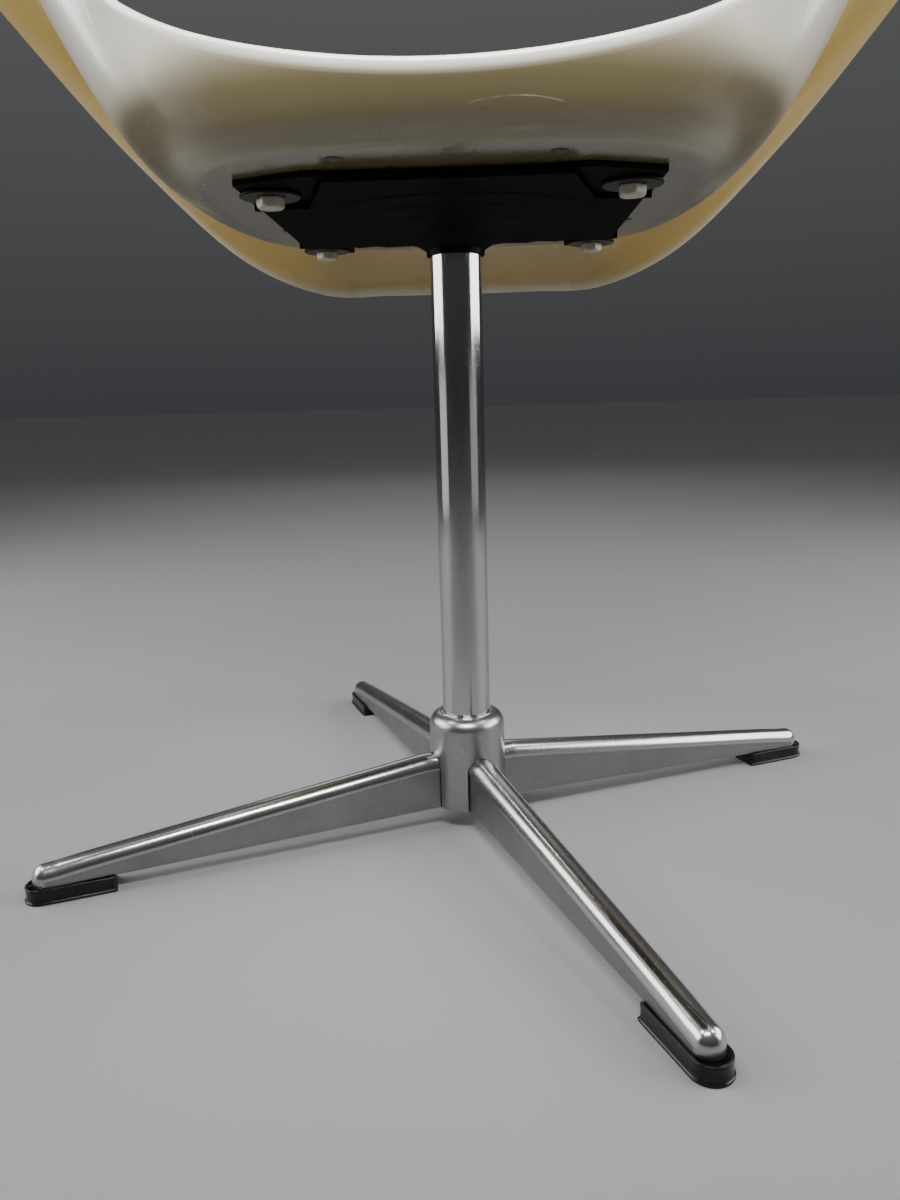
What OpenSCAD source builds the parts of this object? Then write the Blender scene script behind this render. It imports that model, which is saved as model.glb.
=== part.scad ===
// Pedestal swivel armchair: a one-piece moulded shell on a column with four pressed legs.
// The origin is on the floor, on the swivel axis. +Z is up and the seat faces -Y.

/* [Legs and glides] */
// Diameter of the circle through the outer ends of the glides
base_d = 570; // [520:1:660]
// Turn of the four legs against the seat, at rest
base_turn = 22.8; // [0:0.1:60]
// Width of a leg where it enters the hub
leg_root_w = 18.4; // [16:0.1:20]
// Width of a leg at its nose
leg_tip_w = 16; // [13:0.1:17]
// Height of a leg at the hub, from its open edge to its ridge
leg_root_h = 36.5; // [32:0.5:42]
// Sheet thickness of a leg
leg_wall = 1.8; // [1.2:0.1:2.5]
// Length of the level stretch of a leg outside the hub
leg_level_l = 7; // [4:0.5:12]
// Height of a leg's open edge above the floor, at its nose
leg_edge_h = 8.5; // [7:0.5:12]
// Length of a glide
glide_l = 51; // [45:1:70]
// Width of a glide
glide_w = 20; // [19:0.1:22]
// Height of a glide's lip over a leg's open edge
glide_lip = 1; // [0.6:0.1:2]
// Height of the foot flange round a glide's sole
glide_flange_h = 1.6; // [1:0.1:2.5]
// Reach of the foot flange past a glide's side
glide_flange = 0.7; // [0.3:0.1:1.2]

/* [Hub and column] */
// Outer diameter of the hub cover
hub_d = 51; // [49:0.5:58]
// Height of the hub cover
hub_h = 64; // [56:1:80]
// Height of the hub's lower edge above the floor
hub_gap = 14; // [13:0.5:18]
// Sheet thickness of the hub cover
hub_wall = 2.5; // [1.5:0.1:3]
// Radius of the hub cover's shoulder
hub_shoulder_r = 9; // [6:0.5:9.2]
// Wall of the welded sleeve inside the hub
sleeve_wall = 3.5; // [2.5:0.1:4.5]
// Thickness of the floor disc inside the sleeve
hub_floor_t = 3; // [2:0.5:5]
// Outer diameter of the column
column_d = 32; // [30:0.5:33]
// Wall of the column
column_wall = 2; // [1.5:0.1:2.5]
// Diameter of the clamp bolt under the hub
clamp_bolt_d = 8; // [6:1:10]

/* [Swivel] */
// Diameter of the spindle
spindle_d = 20; // [18:0.5:22]
// Length of the spindle
spindle_l = 158; // [120:1:200]
// Length of each bush
bush_l = 22; // [15:1:30]
// Flange thickness of the upper bush
bush_flange_t = 2; // [1:0.5:3]
// Running clearance between the spindle and a bush, on the radius
running_gap = 0.05; // [0.02:0.01:0.1]
// Diameter of a bearing ball
ball_d = 3; // [2.5:0.5:3]
// Count of bearing balls
ball_count = 12; // [8:1:14]
// Thickness of a bearing race
race_t = 1; // [0.8:0.1:1.5]
// Depth of the collar, from the lugs of the seat plate to its open end
collar_drop = 20.3; // [19.5:0.1:24]
// Wall of the collar
collar_wall = 1.6; // [1.2:0.1:2.2]
// Length of column that the collar covers
collar_lap = 4.3; // [3:0.1:4.8]

/* [Seat plate] */
// Height of the underside of the plate's lugs above the floor
mount_h = 392; // [340:1:440]
// Width of the plate over its lugs
plate_w = 216; // [212:1:224]
// Width of the plate between its lugs
waist_w = 208; // [200:1:212]
// Reach of the plate to the rear, from the swivel axis
plate_rear = 126; // [122:1:132]
// Reach of the plate's lugs to the front, from the swivel axis
plate_front = 108; // [107:1:116]
// Sheet thickness of the plate
sheet_t = 3; // [2:0.1:3.5]
// Step from the plate's middle up to its four lugs
joggle = 2.8; // [2:0.1:3]
// Width of a rear lug, along the plate's edge
rear_lug_w = 47; // [44:1:52]
// Width of a rear lug, at its inner end
rear_lug_neck_w = 30; // [28:1:36]
// Length of a rear lug
rear_lug_l = 60; // [56:1:62]
// Width of a front lug
front_lug_w = 32; // [31:1:40]
// Length of a front lug
front_lug_l = 42; // [40:1:44]
// Width of the slanted end of a rear lug's edge
lug_slant_w = 36; // [20:1:40]
// Depth of the slanted end of a rear lug's edge
lug_slant = 14; // [6:1:16]
// Reach of the plate to the front, in the middle of its scoop
scoop_reach = 47; // [42:1:70]
// Radius of the scoop
scoop_r = 132; // [110:1:160]
// Distance between the bolts across the seat
bolt_pitch_x = 187.4; // [180:0.1:190]
// Distance between the bolts along the seat
bolt_pitch_y = 181.8; // [176:0.1:188]
// Diameter of the plate's bolts
bolt_d = 8; // [6:1:8]
// Diameter of the large washers
washer_d = 32; // [28:1:34]
// Thickness of the large washers
washer_t = 2; // [1.5:0.5:2.5]
// Diameter of the round pressing in the plate
dome_d = 192; // [180:1:196]
// Depth of the round pressing, below the plate's middle
dome_drop = 8; // [7:0.5:9]

/* [Shell] */
// Height of the chair
chair_h = 790; // [700:1:900]
// Wall of the shell
shell_wall = 5; // [4:0.1:6]
// Half width of the shell over its arms
rim_half_w = 325; // [300:1:345]
// Reach of the front lip from the swivel axis
rim_front = 220; // [210:1:235]
// Reach of the backrest from the swivel axis
rim_back = 262; // [245:1:290]
// Drop of the front lip below the shell's flat underside
lip_drop = 20; // [12:1:30]
// Half width of the flat underside
floor_half_w = 130; // [127:1:136]
// Reach of the flat underside to the front
floor_front = 118; // [115:1:124]
// Reach of the flat underside to the back
floor_back = 156; // [152:1:162]
// Half width of the bowl at its belt
belt_half_w = 205; // [198:1:215]
// Reach of the bowl's belt to the front
belt_front = 168; // [162:1:176]
// Reach of the bowl's belt to the back
belt_back = 196; // [188:1:206]
// Height of the belt at the sides, above the flat underside
belt_rise = 69; // [60:1:80]
// Half angle of the opening in the back, seen from the swivel axis
opening_half_angle = 48; // [40:1:54]
// Diameter of the studs that hold the seat board
stud_d = 7.4; // [6:0.1:8]

/* [Upholstery] */
// Thickness of the seat board
board_t = 6; // [4:0.5:8]
// Rise of the seat cushion's crown above the shell's flat underside
crown_rise = 62; // [54:1:70]
// Thickness of the back pad at its middle
pad_t = 30; // [22:1:36]
// Thickness of the back pad at its edge
pad_edge_t = 9; // [7:0.5:12]

/* [Hidden] */

// One overrun serves every cut, and one small gap parts bodies that don't run on each other
over = 1;
seat_gap = 0.3;
fit_gap = 0.1;
fine = 96;
coarse = 32;

// Levels of the base
column_r = column_d / 2;
column_bore_r = column_r - column_wall;
sleeve_r = column_r + sleeve_wall;
column_foot_z = hub_gap + hub_floor_t;
collar_z = mount_h - collar_drop;
column_top_z = collar_z + collar_lap;
hub_r = hub_d / 2;
hub_top_z = hub_gap + hub_h;

// The legs: a level root, then a straight ridge down to a round nose
leg_ridge_root_z = hub_gap + leg_root_h;
leg_root_r = leg_root_w / 2;
leg_nose_r = leg_tip_w / 2;
glide_r = glide_w / 2;
glide_arc_x = base_d / 2 - glide_r;
leg_nose_setback = 2.5;
leg_nose_rise_share = 0.62;
leg_nose_x = glide_arc_x - leg_nose_setback;

// The clamp under the hub
clamp_head_w_share = 1.6;
clamp_head_h_share = 0.62;
clamp_washer_t = 1.5;
clamp_washer_d_share = 2.6;
plug_l = 14;
plug_z = column_foot_z + 2;

// The swivel, from the column's top upward
bush_flange_z = column_top_z + bush_flange_t;
race_bore_r = spindle_d / 2 + fit_gap;
race_r = column_r - fit_gap;
ball_z = bush_flange_z + race_t + ball_d / 2;
ball_ring_r = (race_bore_r + race_r) / 2;
upper_race_z = bush_flange_z + race_t + ball_d;
glide_block_share = 0.75;
contact_gap = 0.02;
cup_ceiling_z = upper_race_z + race_t;
cup_top_z = cup_ceiling_z + sheet_t;
collar_r = column_r + seat_gap + collar_wall;
spindle_foot_z = cup_top_z - spindle_l;
ring_w_share = 0.12;
ring_t = 1.5;
ring_z = spindle_foot_z + 6;
ring_seat_depth = 1;
retaining_washer_t = 2;
lower_bush_z = ring_z + ring_t + retaining_washer_t + seat_gap;

// The seat plate's levels, and the rings of its round pressing
middle_z = mount_h - joggle;
lug_top_z = mount_h + sheet_t;
bolt_head_w_share = 1.625;
bolt_head_h_share = 0.66;
bolt_l = 16;
nut_flange_d = 22;
nut_flange_t = 2;
nut_barrel_d = 11;

// The shell: angles run from the front round to the back, in equal steps of the tables
floor_z = lug_top_z;
floor_power_share = 4;
belt_power_share = 2.5;
rim_power_share = 1.82;
lip_z = floor_z - lip_drop;
belt_rise_share = [0.17, 0.22, 0.66, 1.00, 1.00, 0.84, 0.78];
rim_rise_share = [
    -0.002, -0.003, -0.001, 0.063, 0.212, 0.395, 0.561, 0.674, 0.757, 0.841, 0.925, 0.978, 1.000
];
belt_lean = [0, 5, 38, 60, 62, 62, 62];
rim_lean = [-70, -68, -58, -27, 4, 18, 30, 45, 60, 71, 80, 84, 85];
// Rows of the surface: 1 is the edge of the flat underside, 2 the belt and 3 the rim
opening_end_row_share = 2.24;
opening_low_rows_share = 0.638;
opening_high_rows_share = 0.16;
opening_columns = 20;
side_columns = 52;
low_rows = 8;
high_rows = 9;
edge_bulge_share = 0.35;
stud_rear = [52, 145];
stud_side = [108, 30];
stud_head_recess = 0.5;

// The upholstery, in rows of the shell's surface
cushion_row_share = [0.60, 0.55, 0.37, 0.26, 0.25, 0.22, 0.21];
cushion_side_share = [0.44, 0.44, 0.42, 0.42, 0.34, 0.22, 0.18];
cushion_columns = 48;
pad_columns = 40;
pad_rings = 6;
pad_half_angle = 38;
pad_row_share = 2.71;
pad_half_rows_share = 0.2;
pad_power_share = 3.2;

function hermite(t, p0, m0, p1, m1) =
    (2 * t * t * t - 3 * t * t + 1) * p0 + (t * t * t - 2 * t * t + t) * m0
    + (3 * t * t - 2 * t * t * t) * p1 + (t * t * t - t * t) * m1;

// A smooth curve through a table whose entries are equal steps from the front to the back
function along(table, a) =
    let (last = len(table) - 1)
    let (s = min(abs(a) / 180 * last, last - 0.000001))
    let (i = floor(s))
    let (before = table[i == 0 ? 1 : i - 1])
    let (after = table[i + 2 > last ? last - 1 : i + 2])
    hermite(s - i, table[i], (table[i + 1] - before) / 2, table[i + 1], (after - table[i]) / 2);

// Radius of a rounded outline at an angle from the front
function outline_r(a, half_w, front, back, power) =
    let (reach = cos(a) > 0 ? front : back)
    pow(pow(abs(sin(a)) / half_w, power) + pow(abs(cos(a)) / reach, power), -1 / power);

// Radius and height of the shell's outer surface at an angle and a row
function shell_profile(a, t) =
    let (floor_r = outline_r(a, floor_half_w, floor_front, floor_back, floor_power_share))
    let (belt_r = outline_r(a, belt_half_w, belt_front, belt_back, belt_power_share))
    let (rim_r = outline_r(a, rim_half_w, rim_front, rim_back, rim_power_share))
    let (belt_z = floor_z + belt_rise * along(belt_rise_share, a))
    let (rim_z = lip_z + (chair_h - lip_z) * along(rim_rise_share, a))
    let (lean_b = along(belt_lean, a), lean_r = along(rim_lean, a))
    let (low = norm([belt_r - floor_r, belt_z - floor_z]))
    let (high = norm([rim_r - belt_r, rim_z - belt_z]))
    t <= 2
        ? [hermite(t - 1, floor_r, low, belt_r, low * cos(lean_b)),
           hermite(t - 1, floor_z, 0, belt_z, low * sin(lean_b))]
        : [hermite(t - 2, belt_r, high * cos(lean_b), rim_r, high * cos(lean_r)),
           hermite(t - 2, belt_z, high * sin(lean_b), rim_z, high * sin(lean_r))];

function shell_point(a, t) =
    let (p = shell_profile(a, t))
    [p[0] * sin(a), -p[0] * cos(a), p[1]];

// Unit vector from the outer surface into the seat
function shell_normal(a, t) =
    let (da = 0.5, dt = 0.01)
    let (across = shell_point(a + da, t) - shell_point(a - da, t))
    let (up = shell_point(a, min(t + dt, 3)) - shell_point(a, max(t - dt, 1)))
    let (n = t <= 1 ? [0, 0, 1] : cross(up, across))
    n / norm(n);

function shell_inside(a, t, depth) = shell_point(a, t) + depth * shell_normal(a, t);

// Rows at which the opening in the back starts and ends, equal where there is no opening
function opening_share(a) = max(0, 1 - pow((180 - abs(a)) / opening_half_angle, 2.2));
function opening_low(a) = opening_end_row_share - opening_low_rows_share * pow(opening_share(a), 0.64);
function opening_high(a) = opening_end_row_share + opening_high_rows_share * pow(opening_share(a), 0.5);

columns = opening_columns + side_columns;
rows = low_rows + high_rows;
column_angle = concat(
    [for (i = [0 : opening_columns - 1]) 180 - opening_half_angle * cos(180 * i / opening_columns)],
    [for (k = [0 : side_columns - 1])
        180 + opening_half_angle + (360 - 2 * opening_half_angle) * k / side_columns]);
function signed(a) = a > 180 ? a - 360 : a;
function column_a(i) = signed(column_angle[i % columns]);
function is_open(i) = i % columns > 0 && i % columns < opening_columns;

function row_t(a, j) =
    j < low_rows
        ? 1 + (opening_low(a) - 1) * j / (low_rows - 1)
        : opening_high(a) + (3 - opening_high(a)) * (j - low_rows) / (high_rows - 1);

// Number of a point: side 0 is the outer surface and side 1 the inner one
function point_id(side, i, j) =
    side * columns * rows + (i % columns) * rows + (j == low_rows && !is_open(i) ? j - 1 : j);

function quad(a, b, c, d) = [[a, b, c], [a, c, d]];
function flat_list(groups) = [for (group = groups) for (item = group) item];

// A point just outside the middle of the wall's edge, which rounds the edge
function edge_point(i, edge_j, inner_j) =
    let (a = column_a(i))
    let (outer = shell_point(a, row_t(a, edge_j)))
    let (inner = shell_inside(a, row_t(a, edge_j), shell_wall))
    let (before = shell_point(a, row_t(a, inner_j)))
    (outer + inner) / 2 + edge_bulge_share * shell_wall * (outer - before) / norm(outer - before);

function edge_middle(i, edge_j) =
    let (a = column_a(i))
    shell_inside(a, row_t(a, edge_j), shell_wall / 2);

module shell_body() {
    surface_points = [for (side = [0, 1]) for (i = [0 : columns - 1]) for (j = [0 : rows - 1])
        shell_inside(column_a(i), row_t(column_a(i), j), side * shell_wall)];
    rim_points = [for (i = [0 : columns - 1]) edge_point(i, rows - 1, rows - 2)];
    low_points = [for (i = [0 : opening_columns])
        is_open(i) ? edge_point(i, low_rows - 1, low_rows - 2) : edge_middle(i, low_rows - 1)];
    high_points = [for (i = [0 : opening_columns])
        is_open(i) ? edge_point(i, low_rows, low_rows + 1) : edge_middle(i, low_rows - 1)];
    rim_start = 2 * columns * rows;
    low_start = rim_start + columns;
    high_start = low_start + opening_columns + 1;
    bands = concat([for (j = [0 : low_rows - 2]) j], [for (j = [low_rows : rows - 2]) j]);
    outer_faces = [for (i = [0 : columns - 1]) for (j = bands)
        quad(point_id(0, i, j), point_id(0, i, j + 1), point_id(0, i + 1, j + 1), point_id(0, i + 1, j))];
    inner_faces = [for (i = [0 : columns - 1]) for (j = bands)
        quad(point_id(1, i, j), point_id(1, i + 1, j), point_id(1, i + 1, j + 1), point_id(1, i, j + 1))];
    rim_faces = [for (i = [0 : columns - 1])
        let (m = rim_start + i, n = rim_start + (i + 1) % columns)
        concat(
            quad(point_id(0, i, rows - 1), m, n, point_id(0, i + 1, rows - 1)),
            quad(m, point_id(1, i, rows - 1), point_id(1, i + 1, rows - 1), n))];
    end = opening_columns;
    low_faces = [for (i = [0 : end - 1])
        let (m = low_start + i, n = low_start + i + 1)
        concat(
            quad(point_id(0, i, low_rows - 1), m, n, point_id(0, i + 1, low_rows - 1)),
            quad(m, point_id(1, i, low_rows - 1), point_id(1, i + 1, low_rows - 1), n))];
    // The two strips of the opening meet in the low strip's end points
    high_id = function (i) i == 0 || i == end ? low_start + i : high_start + i;
    high_faces = [for (i = [0 : end - 1])
        concat(
            quad(point_id(0, i, low_rows), point_id(0, i + 1, low_rows), high_id(i + 1), high_id(i)),
            quad(high_id(i), high_id(i + 1), point_id(1, i + 1, low_rows), point_id(1, i, low_rows)))];
    under_face = [for (i = [0 : columns - 1]) point_id(0, i, 0)];
    seat_face = [for (i = [columns - 1 : -1 : 0]) point_id(1, i, 0)];
    polyhedron(
        points = concat(surface_points, rim_points, low_points, high_points),
        faces = concat([under_face, seat_face], flat_list(outer_faces), flat_list(inner_faces),
            flat_list(rim_faces), flat_list(low_faces), flat_list(high_faces)));
}

module at_bolts() {
    for (sx = [-1, 1]) {
        for (sy = [-1, 1]) {
            translate([sx * bolt_pitch_x / 2, sy * bolt_pitch_y / 2, 0]) children();
        }
    }
}

module at_studs() {
    for (sx = [-1, 1]) {
        translate([sx * stud_rear[0], stud_rear[1], 0]) children();
        translate([sx * stud_side[0], -stud_side[1], 0]) children();
    }
}

module tube(outer_r, inner_r, z, h) {
    translate([0, 0, z]) difference() {
        cylinder(r = outer_r, h = h, $fn = fine);
        translate([0, 0, -over]) cylinder(r = inner_r, h = h + 2 * over, $fn = fine);
    }
}

// The arch that a leg's root has, grown by a clearance, from its open edge to its ridge
module leg_arch(x, l, grow) {
    r = leg_root_r + grow;
    translate([x, 0, leg_ridge_root_z - leg_root_r]) rotate([0, 90, 0]) cylinder(r = r, h = l, $fn = fine);
    translate([x, -r, hub_gap - over]) cube([l, 2 * r, leg_root_h - leg_root_r + over]);
}

// Solid form of a leg, drawn in from its skin by a wall
module leg_form(inset, below) {
    root_r = leg_root_r - inset;
    nose_r = leg_nose_r - inset;
    root_x = sleeve_r - over;
    root_l = hub_r + leg_level_l - root_x;
    hull() {
        translate([root_x, 0, leg_ridge_root_z - leg_root_r])
            rotate([0, 90, 0]) cylinder(r = root_r, h = root_l, $fn = coarse);
        translate([root_x, -root_r, hub_gap - below]) cube([root_l, 2 * root_r, root_r]);
        intersection() {
            translate([leg_nose_x, 0, leg_edge_h + leg_nose_rise_share * leg_nose_r])
                sphere(r = nose_r, $fn = coarse);
            translate([leg_nose_x, 0, leg_edge_h - below])
                cylinder(r = nose_r, h = 2 * nose_r, $fn = coarse);
        }
        translate([leg_nose_x, 0, leg_edge_h - below])
            cylinder(r = nose_r, h = leg_nose_rise_share * leg_nose_r + below, $fn = coarse);
    }
}

module leg(k) {
    color("silver") rotate([0, 0, base_turn + 90 * k]) difference() {
        leg_form(0, 0);
        leg_form(leg_wall, 2 * over);
        cylinder(r = sleeve_r + fit_gap, h = hub_top_z, $fn = fine);
    }
}

module glide_plan(grow) {
    translate([glide_arc_x, 0]) circle(r = glide_r + grow, $fn = fine);
    translate([base_d / 2 - glide_l, -glide_r - grow]) square([glide_l - glide_r, glide_w + 2 * grow]);
}

// A shoe under the leg's end: a sole, a lip outside the leg's edges and a block inside them
module glide(k) {
    sole_h = leg_edge_h - fit_gap;
    block_r = (leg_nose_r - leg_wall) * glide_block_share;
    block_h = glide_lip + leg_nose_r / 5;
    color([0.07, 0.07, 0.07]) rotate([0, 0, base_turn + 90 * k]) {
        linear_extrude(height = sole_h) glide_plan(0);
        linear_extrude(height = glide_flange_h) glide_plan(glide_flange);
        difference() {
            translate([0, 0, sole_h - fit_gap])
                linear_extrude(height = glide_lip + 2 * fit_gap) glide_plan(0);
            leg_form(-fit_gap, over);
        }
        translate([base_d / 2 - glide_l, -block_r, sole_h - fit_gap])
            cube([glide_l - glide_w, 2 * block_r, block_h]);
    }
}

module hub_cover() {
    inner_r = hub_r - hub_wall;
    inner_shoulder_r = hub_shoulder_r - hub_wall;
    color([0.62, 0.63, 0.62]) difference() {
        rotate_extrude($fn = fine) difference() {
            union() {
                square([hub_r, hub_gap + hub_h - hub_shoulder_r]);
                square([hub_r - hub_shoulder_r, hub_top_z]);
                translate([hub_r - hub_shoulder_r, hub_top_z - hub_shoulder_r])
                    circle(r = hub_shoulder_r, $fn = fine);
            }
            translate([-over, -over]) square([hub_r + 2 * over, hub_gap + over]);
            square([inner_r, hub_top_z - hub_shoulder_r]);
            square([inner_r - inner_shoulder_r, hub_top_z - hub_wall]);
            translate([inner_r - inner_shoulder_r, hub_top_z - hub_shoulder_r])
                circle(r = inner_shoulder_r, $fn = fine);
            square([column_r + fit_gap, hub_top_z + over]);
        }
        for (k = [0 : 3]) {
            rotate([0, 0, base_turn + 90 * k]) leg_arch(sleeve_r, hub_r, fit_gap);
        }
    }
}

module hub_sleeve() {
    color("dimgray") tube(sleeve_r, column_r, hub_gap, hub_h - hub_wall - sleeve_wall);
}

module hub_floor() {
    color("dimgray") tube(column_r, clamp_bolt_d / 2 + fit_gap, hub_gap, hub_floor_t);
}

module clamp_bolt() {
    head_h = clamp_head_h_share * clamp_bolt_d;
    head_z = hub_gap - clamp_washer_t - head_h;
    color("gray") translate([0, 0, head_z]) {
        cylinder(d = clamp_head_w_share * clamp_bolt_d, h = head_h, $fn = 6);
        cylinder(d = clamp_bolt_d, h = plug_z + plug_l - head_z - over, $fn = fine);
    }
}

module clamp_washer() {
    washer_r = clamp_washer_d_share * clamp_bolt_d / 2;
    color("silver") tube(washer_r, clamp_bolt_d / 2 + fit_gap, hub_gap - clamp_washer_t, clamp_washer_t);
}

module column_plug() {
    color("dimgray") tube(column_bore_r, clamp_bolt_d / 2, plug_z, plug_l);
}

module column() {
    color([0.8, 0.8, 0.82]) tube(column_r, column_bore_r, column_foot_z, column_top_z - column_foot_z);
}

module lower_bush() {
    color("ivory") tube(column_bore_r, spindle_d / 2 + running_gap, lower_bush_z, bush_l);
}

module upper_bush() {
    bore_r = spindle_d / 2 + running_gap;
    color("ivory") {
        tube(column_bore_r, bore_r, column_top_z - bush_l, bush_l + bush_flange_t);
        tube(column_r, bore_r, column_top_z, bush_flange_t);
    }
}

module lower_race() {
    color("silver") tube(race_r, race_bore_r, bush_flange_z, race_t);
}

module bearing_balls() {
    color("lightgray") for (i = [0 : ball_count - 1]) {
        rotate([0, 0, 360 * i / ball_count])
            translate([ball_ring_r, 0, ball_z]) sphere(d = ball_d - 2 * contact_gap, $fn = fine);
    }
}

module upper_race() {
    color("silver") tube(race_r, race_bore_r, upper_race_z, race_t);
}

module spindle() {
    color("gray") difference() {
        translate([0, 0, spindle_foot_z]) cylinder(d = spindle_d, h = spindle_l, $fn = fine);
        tube(spindle_d, spindle_d / 2 - ring_seat_depth, ring_z, ring_t);
    }
}

module retaining_washer() {
    washer_r = column_bore_r - seat_gap;
    color("silver") tube(washer_r, spindle_d / 2 + running_gap, ring_z + ring_t, retaining_washer_t);
}

module retaining_ring() {
    ring_w = ring_w_share * spindle_d;
    color("dimgray") difference() {
        tube(spindle_d / 2 - ring_seat_depth + ring_w, spindle_d / 2 - ring_seat_depth, ring_z, ring_t);
        translate([0, -ring_w, ring_z - over]) cube([spindle_d, 2 * ring_w, ring_t + 2 * over]);
    }
}

// A turned cup over the column's end, which holds the spindle and rides on the upper race
module collar() {
    color([0.08, 0.08, 0.08]) difference() {
        tube(collar_r, spindle_d / 2, collar_z, cup_top_z - collar_z);
        translate([0, 0, collar_z - over])
            cylinder(r = column_r + seat_gap, h = cup_ceiling_z - collar_z + over, $fn = fine);
    }
}

// Half section of the round pressing's underside, from the collar out to the plate's middle
function dome_outline(lift) = [
    [collar_r, middle_z - dome_drop - 2.1 * sheet_t + lift],
    [collar_r + 1.5 * sheet_t, middle_z - dome_drop - 1.2 * sheet_t + lift],
    [collar_r + 3 * sheet_t, middle_z - dome_drop - 0.3 * sheet_t + lift],
    [collar_r + 5 * sheet_t, middle_z - dome_drop + 0.4 * sheet_t + lift],
    [0.27 * dome_d, middle_z - dome_drop + 1.2 * sheet_t + lift],
    [0.29 * dome_d, middle_z - dome_drop + 1.6 * sheet_t + lift],
    [0.38 * dome_d, middle_z - dome_drop + 1.8 * sheet_t + lift],
    [0.40 * dome_d, middle_z - dome_drop + 2.2 * sheet_t + lift],
    [0.49 * dome_d, middle_z - dome_drop + 2.4 * sheet_t + lift],
    [0.50 * dome_d, middle_z + lift],
    [0.51 * dome_d, middle_z + lift]
];

// The plate's outline: slanted rear corners, and a wide scoop between the front lugs
module plate_plan() {
    half_w = plate_w / 2;
    difference() {
        polygon([
            [-half_w, -plate_front], [half_w, -plate_front], [half_w, plate_rear - lug_slant],
            [half_w - lug_slant_w, plate_rear], [lug_slant_w - half_w, plate_rear],
            [-half_w, plate_rear - lug_slant]
        ]);
        scoop_plan();
    }
}

module scoop_plan() {
    intersection() {
        translate([0, -scoop_reach - scoop_r]) circle(r = scoop_r, $fn = 2 * fine);
        translate([front_lug_w - plate_w / 2, -2 * plate_front]) square([plate_w - 2 * front_lug_w, 2 * plate_front]);
    }
}

// The four lugs' outlines, grown inwards by the wall of the step
module lug_plans(grow) {
    half_w = plate_w / 2;
    rear_end_y = plate_rear - rear_lug_l - grow;
    front_end_y = front_lug_l + grow - plate_front;
    for (sx = [-1, 1]) {
        polygon([
            [sx * half_w, plate_rear], [sx * (half_w - rear_lug_w - grow), plate_rear],
            [sx * (half_w - rear_lug_neck_w - grow), rear_end_y], [sx * half_w, rear_end_y]
        ]);
        polygon([
            [sx * half_w, -plate_front], [sx * (half_w - front_lug_w - grow), -plate_front],
            [sx * (half_w - front_lug_w - grow), front_end_y], [sx * half_w, front_end_y]
        ]);
    }
}

module seat_plate() {
    color([0.1, 0.1, 0.1]) difference() {
        union() {
            translate([0, 0, middle_z]) linear_extrude(height = sheet_t) difference() {
                intersection() {
                    plate_plan();
                    square([waist_w, 2 * plate_rear], center = true);
                }
                circle(d = dome_d, $fn = fine);
                lug_plans(0);
            }
            // The lugs, one step higher, with the wall of the step between
            translate([0, 0, mount_h]) linear_extrude(height = sheet_t) intersection() {
                plate_plan();
                lug_plans(0);
            }
            translate([0, 0, middle_z]) linear_extrude(height = joggle + sheet_t) intersection() {
                plate_plan();
                difference() {
                    lug_plans(sheet_t);
                    lug_plans(0);
                }
            }
            rotate_extrude($fn = fine) polygon(concat(
                dome_outline(0),
                [for (i = [len(dome_outline(0)) - 1 : -1 : 0]) dome_outline(sheet_t)[i]]));
        }
        translate([0, 0, middle_z - dome_drop]) linear_extrude(height = 2 * dome_drop) scoop_plan();
        at_bolts() translate([0, 0, middle_z - over])
            cylinder(d = bolt_d + 10 * fit_gap, h = joggle + sheet_t + 2 * over, $fn = fine);
    }
}

module plate_washers() {
    color([0.3, 0.3, 0.3]) at_bolts() tube(washer_d / 2, bolt_d / 2 + fit_gap, mount_h - washer_t, washer_t);
}

module plate_bolts() {
    head_h = bolt_head_h_share * bolt_d;
    head_z = mount_h - washer_t - head_h;
    color([0.78, 0.77, 0.72]) at_bolts() translate([0, 0, head_z]) {
        rotate([0, 0, 15]) cylinder(d = bolt_head_w_share * bolt_d * 1.1547, h = head_h, $fn = 6);
        cylinder(d = bolt_d, h = head_h + bolt_l, $fn = fine);
    }
}

// Flanged nuts with a barrel, let into the shell from the seat's side
module shell_nuts() {
    color("silver") at_bolts() difference() {
        union() {
            translate([0, 0, floor_z + fit_gap]) cylinder(d = nut_barrel_d, h = shell_wall, $fn = fine);
            translate([0, 0, floor_z + shell_wall]) cylinder(d = nut_flange_d, h = nut_flange_t, $fn = fine);
        }
        translate([0, 0, floor_z - over])
            cylinder(d = bolt_d, h = shell_wall + nut_flange_t + 2 * over, $fn = fine);
    }
}

module shell() {
    color([0.9, 0.88, 0.8]) difference() {
        shell_body();
        at_bolts() translate([0, 0, floor_z - over])
            cylinder(d = nut_barrel_d + fit_gap, h = shell_wall + 2 * over, $fn = fine);
        at_studs() translate([0, 0, floor_z - shell_wall])
            cylinder(d = stud_d + fit_gap, h = 4 * shell_wall, $fn = fine);
    }
}

module board_studs() {
    color([0.75, 0.73, 0.66]) at_studs() translate([0, 0, floor_z + stud_head_recess])
        cylinder(d = stud_d, h = shell_wall + board_t - stud_head_recess, $fn = fine);
}

// The board lies on the inside of the flat underside, with holes over the nuts
module seat_board() {
    board_z = floor_z + shell_wall;
    edge = [for (i = [0 : cushion_columns - 1])
        let (a = 360 * i / cushion_columns)
        let (r = outline_r(a, floor_half_w, floor_front, floor_back, floor_power_share) - shell_wall)
        [r * sin(a), -r * cos(a)]];
    color("burlywood") difference() {
        translate([0, 0, board_z]) linear_extrude(height = board_t) polygon(edge);
        at_bolts() translate([0, 0, board_z - over])
            cylinder(d = nut_flange_d + 10 * fit_gap, h = board_t + 2 * over, $fn = fine);
        at_studs() translate([0, 0, board_z - over])
            cylinder(d = stud_d + fit_gap, h = board_t + 2 * over, $fn = fine);
    }
}

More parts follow.
